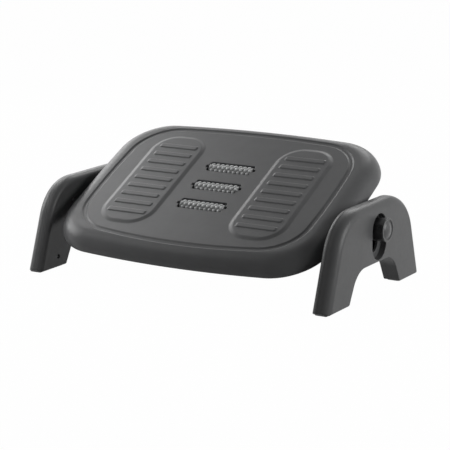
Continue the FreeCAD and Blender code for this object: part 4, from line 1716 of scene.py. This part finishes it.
@dataclass(frozen=True)
class ClampKnob:
    """A faceted hand knob with a round cap and a low dome.

    Attributes:
        facets: Flats round the grip.
        rest_turn: How far the flats are turned at rest, in degrees.
        radius: Reach of the grip's corners and of the cap.
        facet_round: The grip's corner round.
        collar: Length of the round collar at the foot.
        foot_chamfer: The chamfer at the collar's foot.
        collar_drop: How much narrower the collar gets at its end.
        collar_taper: The length over which it does.
        blend: Length over which the collar turns into the flats.
        blend_shares: Shares of the collar's circle in the rings between.
        flats_start: Where the full flats start, from the collar's end.
        end_chamfer: The chamfer at the grip's end.
        cap: The cap's thickness.
        cap_round: The round of its rim.
        cap_chamfer: The chamfer at the back of its plate.
        cap_crease: Angle in degrees from which its edges stay sharp.
        dome_radius: The dome's radius in front view.
        dome_height: How far it stands out of the cap.
        moat_depth: How deep the ring round the dome is sunk.
        moat_wall: How far outside the dome the ring's outer wall lies, from its edge to its foot.
        moat_edge: How far its rounded edge and foot reach along X.
        insert_hole: Radius of the hole for the threaded insert.
        recess: Radius of the recess for the cap's spigot.
        recess_depth: Its depth.
        spigot_gap: The spigot's gap to the recess.
        spigot_chamfer: The chamfer at its end.
        turn_steps: Pieces round the cap.
        dome_steps: Pieces up the dome.
    """

    facets: int = 9
    rest_turn: float = 4.6
    radius: float = 17.8
    facet_round: float = 1.0
    collar: float = 2.5
    foot_chamfer: float = 0.5
    collar_drop: float = 0.3
    collar_taper: float = 0.4
    blend: float = 1.6
    blend_shares: tuple[float, ...] = (0.75, 0.4, 0.1)
    flats_start: float = 1.8
    end_chamfer: float = 0.4
    cap: float = 3.0
    cap_round: float = 1.0
    cap_chamfer: float = 0.4
    cap_crease: float = 50.0
    dome_radius: float = 13.4
    dome_height: float = 2.2
    moat_depth: float = 1.5
    moat_wall: tuple[float, float, float, float] = (1.9, 1.6, 1.3, 1.0)
    moat_edge: float = 0.3
    insert_hole: float = 8.03
    recess: float = 11.0
    recess_depth: float = 5.0
    spigot_gap: float = 0.03
    spigot_chamfer: float = 0.5
    turn_steps: int = 72
    dome_steps: int = 17

    def facet_loop(self, inset: float) -> np.ndarray:
        """Draws the grip's outline.

        Args:
            inset: How far inwards.

        Returns:
            The points about the axis.
        """
        turn = np.radians(360 * (np.arange(self.facets) + 0.5) / self.facets + self.rest_turn)
        corners = self.radius * np.stack([np.cos(turn), np.sin(turn)], axis=1)
        outline = RoundedPolygon(corners, np.full(self.facets, self.facet_round))
        return outline.moved_in(np.full(self.facets, inset)).loop(arc_steps=5, edge_steps=4)

    def matched_circle(self, radius: float) -> np.ndarray:
        """A circle with one point for each point of the grip's outline, at the same angles."""
        return unit(self.facet_loop(0.0)) * radius

    def grip_skin(self, low_x: float, high_x: float, axis: Place) -> Skin:
        """Gathers the grip: a collar that narrows into flats, and the recesses in its end.

        Args:
            low_x: Its foot, next to the leg.
            high_x: Its end, under the cap.
            axis: The knob's axis, as (y, z).

        Returns:
            The surfaces of the right knob's grip.
        """
        circle = self.matched_circle
        flats = self.facet_loop(0.0)
        collar_x = low_x + self.collar
        collar_end = circle(self.radius - self.collar_drop)
        recess_x = high_x - self.recess_depth
        profile = [
            (circle(self.insert_hole), low_x),
            (circle(self.radius - self.foot_chamfer), low_x),
            (circle(self.radius), low_x + self.foot_chamfer),
            (circle(self.radius), collar_x - self.collar_taper),
            (collar_end, collar_x),
        ]
        profile += [(flats * (1 - share) + collar_end * share, collar_x + self.blend * (1 - share))
                    for share in self.blend_shares]
        profile += [
            (flats, collar_x + self.flats_start),
            (flats, high_x - self.end_chamfer),
            (self.facet_loop(self.end_chamfer), high_x),
            (circle(self.recess), high_x),
            (circle(self.recess), recess_x),
            (circle(self.insert_hole), recess_x),
            (circle(self.insert_hole), low_x),
        ]
        skin = Skin()
        skin.band([at_depth(loop + np.array(axis), x) for loop, x in profile])
        return skin

    def cap_skin(self, low_x: float, tip_x: float, axis: Place) -> Skin:
        """Gathers the cap: its spigot, its plate with a round rim, the sunk ring and the dome.

        The dome is part of a sphere: it rises by the root of the sphere's radius squared less the
        distance from the axis squared, less how far the sphere's centre is sunk.

        Args:
            low_x: Where the spigot ends inside the grip.
            tip_x: The dome's top.
            axis: The knob's axis, as (y, z).

        Returns:
            The surfaces of the right knob's cap.
        """
        rim_x = tip_x - self.dome_height
        plate_x = rim_x - self.cap
        spigot = self.recess - self.spigot_gap
        profile = [
            (spigot - self.spigot_chamfer, low_x),
            (spigot, low_x + self.spigot_chamfer),
            (spigot, plate_x),
            (self.radius - self.cap_chamfer, plate_x),
            (self.radius, plate_x + self.cap_chamfer),
        ]
        profile += [(self.radius - inset, rim_x - drop)
                    for inset, drop in quarter_round(self.cap_round, steps=6)[::-1]]
        moat_x = rim_x - self.moat_depth
        moat_wall_x = (rim_x, rim_x - self.moat_edge, moat_x + self.moat_edge, moat_x)
        profile += [(self.dome_radius + out, x) for out, x in zip(self.moat_wall, moat_wall_x)]
        height = self.dome_height + self.moat_depth
        sphere = (self.dome_radius ** 2 + height ** 2) / (2 * height)
        angles = np.linspace(0, math.pi / 2, self.dome_steps + 1)[:-1]
        spread = self.dome_radius * np.cos(angles)
        rise = np.sqrt(sphere ** 2 - spread ** 2) - (sphere - height)
        profile += [(radius, moat_x + out) for radius, out in zip(spread, rise)]
        rings = turned_rings(axis, profile, self.turn_steps)
        skin = Skin()
        skin.band(rings)
        skin.crown(rings[-1], np.array([tip_x, *axis]))
        skin.crown(rings[0], np.array([low_x, *axis]))
        return skin


# Floor, lamps and camera


@dataclass(frozen=True)
class SoftLamp:
    """A square soft box aimed at the footrest.

    Attributes:
        name: Its name.
        place: Where it stands, in metres.
        size: Its width and its height, in metres.
        power: Its power in watts.
        aim: What it faces, in metres.
    """

    name: str
    place: Spot
    size: float
    power: float
    aim: Spot = (0, 0, 0.1)

    def stand(self) -> None:
        """Puts the lamp up, unseen by the camera."""
        light = bpy.data.lights.new(self.name, "AREA")
        light.shape = "RECTANGLE"
        light.size = light.size_y = self.size
        light.energy = self.power
        lamp = bpy.data.objects.new(self.name, light)
        bpy.context.scene.collection.objects.link(lamp)
        lamp.location = self.place
        towards = Vector(self.aim) - Vector(self.place)
        lamp.rotation_euler = towards.to_track_quat("-Z", "Y").to_euler()
        lamp.visible_camera = False


def seen_rays(tree: bpy.types.NodeTree) -> Socket:
    """Tells what is seen, directly, in a reflection or through glass, from what only gets light.

    Args:
        tree: The node tree that reads it.

    Returns:
        The socket with 1 for rays that are seen, and 0 for others.
    """
    path = tree.nodes.new("ShaderNodeLightPath")
    seen = path.outputs["Is Camera Ray"]
    for kind in ("Is Glossy Ray", "Is Transmission Ray"):
        either = tree.nodes.new("ShaderNodeMath")
        either.operation = "MAXIMUM"
        tree.links.new(seen, either.inputs[0])
        tree.links.new(path.outputs[kind], either.inputs[1])
        seen = either.outputs[0]
    return seen


@dataclass(frozen=True)
class Studio:
    """A white floor, soft lamps and the photograph's viewpoint.

    Attributes:
        camera_place: The camera, in millimetres.
        azimuth: How far it stands round to the right, in degrees.
        elevation: How far it stands above the horizon, in degrees.
        focal_share: Its focal length as a share of the frame's width.
        sensor: The sensor's width in millimetres.
        clip: How near and how far the camera sees, in metres.
        floor_radius: The floor's radius in metres.
        floor_steps: Pieces round it.
        floor_drop: How far the floor lies under the feet, in metres.
        floor_grey: The floor's own brightness.
        floor_roughness: Its roughness.
        floor_shine: Its reflection at right angles, on the shader's own scale.
        floor_light: How much of the seen floor is even white.
        sky: Strength of the even light from all round.
        lamps: The soft boxes.
    """

    camera_place: Spot = (1373.0, -2302.7, 680.5)
    azimuth: float = 30.686
    elevation: float = 12.735
    focal_share: float = 4.01455
    sensor: float = 36.0
    clip: Span = (0.05, 200.0)
    floor_radius: float = 30.0
    floor_steps: int = 96
    floor_drop: float = 0.0002
    floor_grey: float = 0.5
    floor_roughness: float = 0.9
    floor_shine: float = 0.1
    floor_light: float = 0.99
    sky: float = 0.03
    lamps: tuple[SoftLamp, ...] = (
        SoftLamp("right_box", (1.05, 0.16, 0.37), 0.5, 5.6),
        SoftLamp("back_box", (-0.29, 1.66, 1.5), 1.0, 10.5),
        SoftLamp("left_box", (-1.37, 0.5, 1.16), 0.9, 8.4),
        SoftLamp("low_left_box", (-1.31, 1.03, 0.77), 0.9, 3.6),
        SoftLamp("front_box", (-0.85, -0.2, 0.4), 0.4, 3.4),
        SoftLamp("near_box", (-0.28, -0.4, 0.44), 0.3, 0.45),
    )

    def lay_floor(self) -> None:
        """Lays the floor: a round sheet, white to the camera and soft grey in its shadows."""
        rim = circle_loop((0.0, 0.0), self.floor_radius, self.floor_steps)
        mesh = bpy.data.meshes.new("floor")
        points = at_height(rim, -self.floor_drop)
        mesh.from_pydata(points, [], [list(range(len(points)))])
        floor = bpy.data.objects.new("floor", mesh)
        bpy.context.scene.collection.objects.link(floor)
        graph = NodeGraph("pale_floor")
        graph.shader.inputs["Base Color"].default_value = (*(self.floor_grey,) * 3, 1)
        graph.shader.inputs["Roughness"].default_value = self.floor_roughness
        graph.shader.inputs["Specular IOR Level"].default_value = self.floor_shine
        white = graph.add("ShaderNodeEmission", Color=(1, 1, 1, 1), Strength=1.0)
        share = graph.add("ShaderNodeMath", operation="MULTIPLY")
        share.inputs[1].default_value = self.floor_light
        graph.join(seen_rays(graph.tree), share.inputs[0])
        mix = graph.add("ShaderNodeMixShader")
        graph.join(share.outputs[0], mix.inputs["Fac"])
        graph.join(graph.shader.outputs["BSDF"], mix.inputs[1])
        graph.join(white.outputs["Emission"], mix.inputs[2])
        graph.join(mix.outputs["Shader"], graph.output.inputs["Surface"])
        mesh.materials.append(graph.material)

    def light_sky(self) -> None:
        """Sets the world: white behind the object, and an even dim light on it."""
        world = bpy.data.worlds.new("studio")
        bpy.context.scene.world = world
        world.use_nodes = True
        tree = world.node_tree
        backdrop = tree.nodes["Background"]
        backdrop.inputs["Color"].default_value = (1, 1, 1, 1)
        level = tree.nodes.new("ShaderNodeMapRange")
        level.inputs["To Min"].default_value = self.sky
        level.inputs["To Max"].default_value = 1.0
        tree.links.new(seen_rays(tree), level.inputs["Value"])
        tree.links.new(level.outputs["Result"], backdrop.inputs["Strength"])

    def place_camera(self) -> None:
        """Sets up the camera at the photograph's viewpoint, upright and with no shift."""
        data = bpy.data.cameras.new("viewpoint")
        data.sensor_width = self.sensor
        data.lens = self.sensor * self.focal_share
        data.clip_start, data.clip_end = self.clip
        camera = bpy.data.objects.new("viewpoint", data)
        bpy.context.scene.collection.objects.link(camera)
        turn, lift = math.radians(self.azimuth), math.radians(self.elevation)
        level = math.cos(lift)
        back = Vector((math.sin(turn) * level, -math.cos(turn) * level, math.sin(lift)))
        right = Vector((math.cos(turn), math.sin(turn), 0))
        pose = Matrix((right, back.cross(right), back)).transposed().to_4x4()
        pose.translation = Vector(self.camera_place) * MM
        camera.matrix_world = pose
        bpy.context.scene.camera = camera

    def build(self) -> None:
        """Sets up the whole studio."""
        bpy.context.scene.view_settings.view_transform = "Standard"
        self.lay_floor()
        self.light_sky()
        for lamp in self.lamps:
            lamp.stand()
        self.place_camera()


# The whole footrest


@dataclass(frozen=True)
class Footrest:
    """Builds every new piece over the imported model.

    Attributes:
        plane: The platform's frame.
        dresser: Gives pieces their finish and body.
    """

    plane: TiltedPlane
    dresser: Dresser

    def platform(self) -> None:
        """Makes the tread and its three rollers."""
        tread = TreadSkin().skin(self.plane).piece("tread_skin")
        self.dresser.dress(tread, Slot.TREAD, Body.PLATFORM, "platform_tread")
        roller = MassageRoller()
        for name, body in (("front_roller", Body.FRONT_ROLLER),
                           ("middle_roller", Body.MIDDLE_ROLLER),
                           ("rear_roller", Body.REAR_ROLLER)):
            low, high = node_box(name)
            axis = ((low[1] + high[1]) / 2, (low[2] + high[2]) / 2)
            piece = roller.skin(low[0], high[0], axis).piece(name + "_nubbed")
            roller.store_hollows(piece, axis)
            self.dresser.dress(piece, Slot.ROLLER, body, name)

    def legs(self) -> None:
        """Makes both legs' shells, covers and feet."""
        _, shell_high = node_box("right_leg_shell")
        cover_low, _ = node_box("right_leg_cover")
        leg = Leg()
        seam_x = cover_low[0] + leg.cover_width
        shell = leg.shell_skin(self.plane, seam_x, shell_high[0])
        cover = leg.cover_skin(self.plane, cover_low[0], seam_x)
        for side in Side:
            piece = shell.mirrored(side).piece(side.word + "_leg_outer_shell")
            self.dresser.dress(piece, Slot.CHARCOAL, Body.LEGS, side.word + "_leg_shell")
            piece = cover.mirrored(side).piece(side.word + "_leg_inner_cover")
            self.dresser.dress(piece, Slot.CHARCOAL, Body.LEGS, side.word + "_leg_cover")
            for end in ("front", "rear"):
                node = f"{side.word}_{end}_foot"
                pad = RubberFoot().skin(*node_box(node)).piece(node + "_pad")
                self.dresser.dress(pad, Slot.RUBBER, Body.LEGS, node)

    def knobs(self) -> None:
        """Makes both clamp knobs' grips and caps."""
        knob = ClampKnob()
        grip_low, grip_high = node_box("right_knob_body")
        cap_low, cap_high = node_box("right_knob_cap")
        axis = (self.plane.pivot_y, self.plane.pivot_z)
        grip = knob.grip_skin(grip_low[0], grip_high[0], axis)
        cap = knob.cap_skin(cap_low[0], cap_high[0], axis)
        for side, body in ((Side.RIGHT, Body.RIGHT_KNOB), (Side.LEFT, Body.LEFT_KNOB)):
            piece = grip.mirrored(side).piece(side.word + "_knob_grip")
            self.dresser.dress(piece, Slot.KNOB, body, side.word + "_knob_body")
            piece = cap.mirrored(side).piece(side.word + "_knob_domed_cap", knob.cap_crease)
            self.dresser.dress(piece, Slot.CAP, body, side.word + "_knob_cap")


def main() -> None:
    """Builds the pieces in order, then the studio."""
    logging.basicConfig(level=logging.INFO, format="%(message)s")
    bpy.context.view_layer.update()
    footrest = Footrest(TiltedPlane.from_joints(frame["joints"]), Dresser())
    footrest.platform()
    footrest.legs()
    footrest.knobs()
    footrest.dresser.repaint(frame["nodes"])
    Studio().build()


if __name__ == "__main__":
    main()
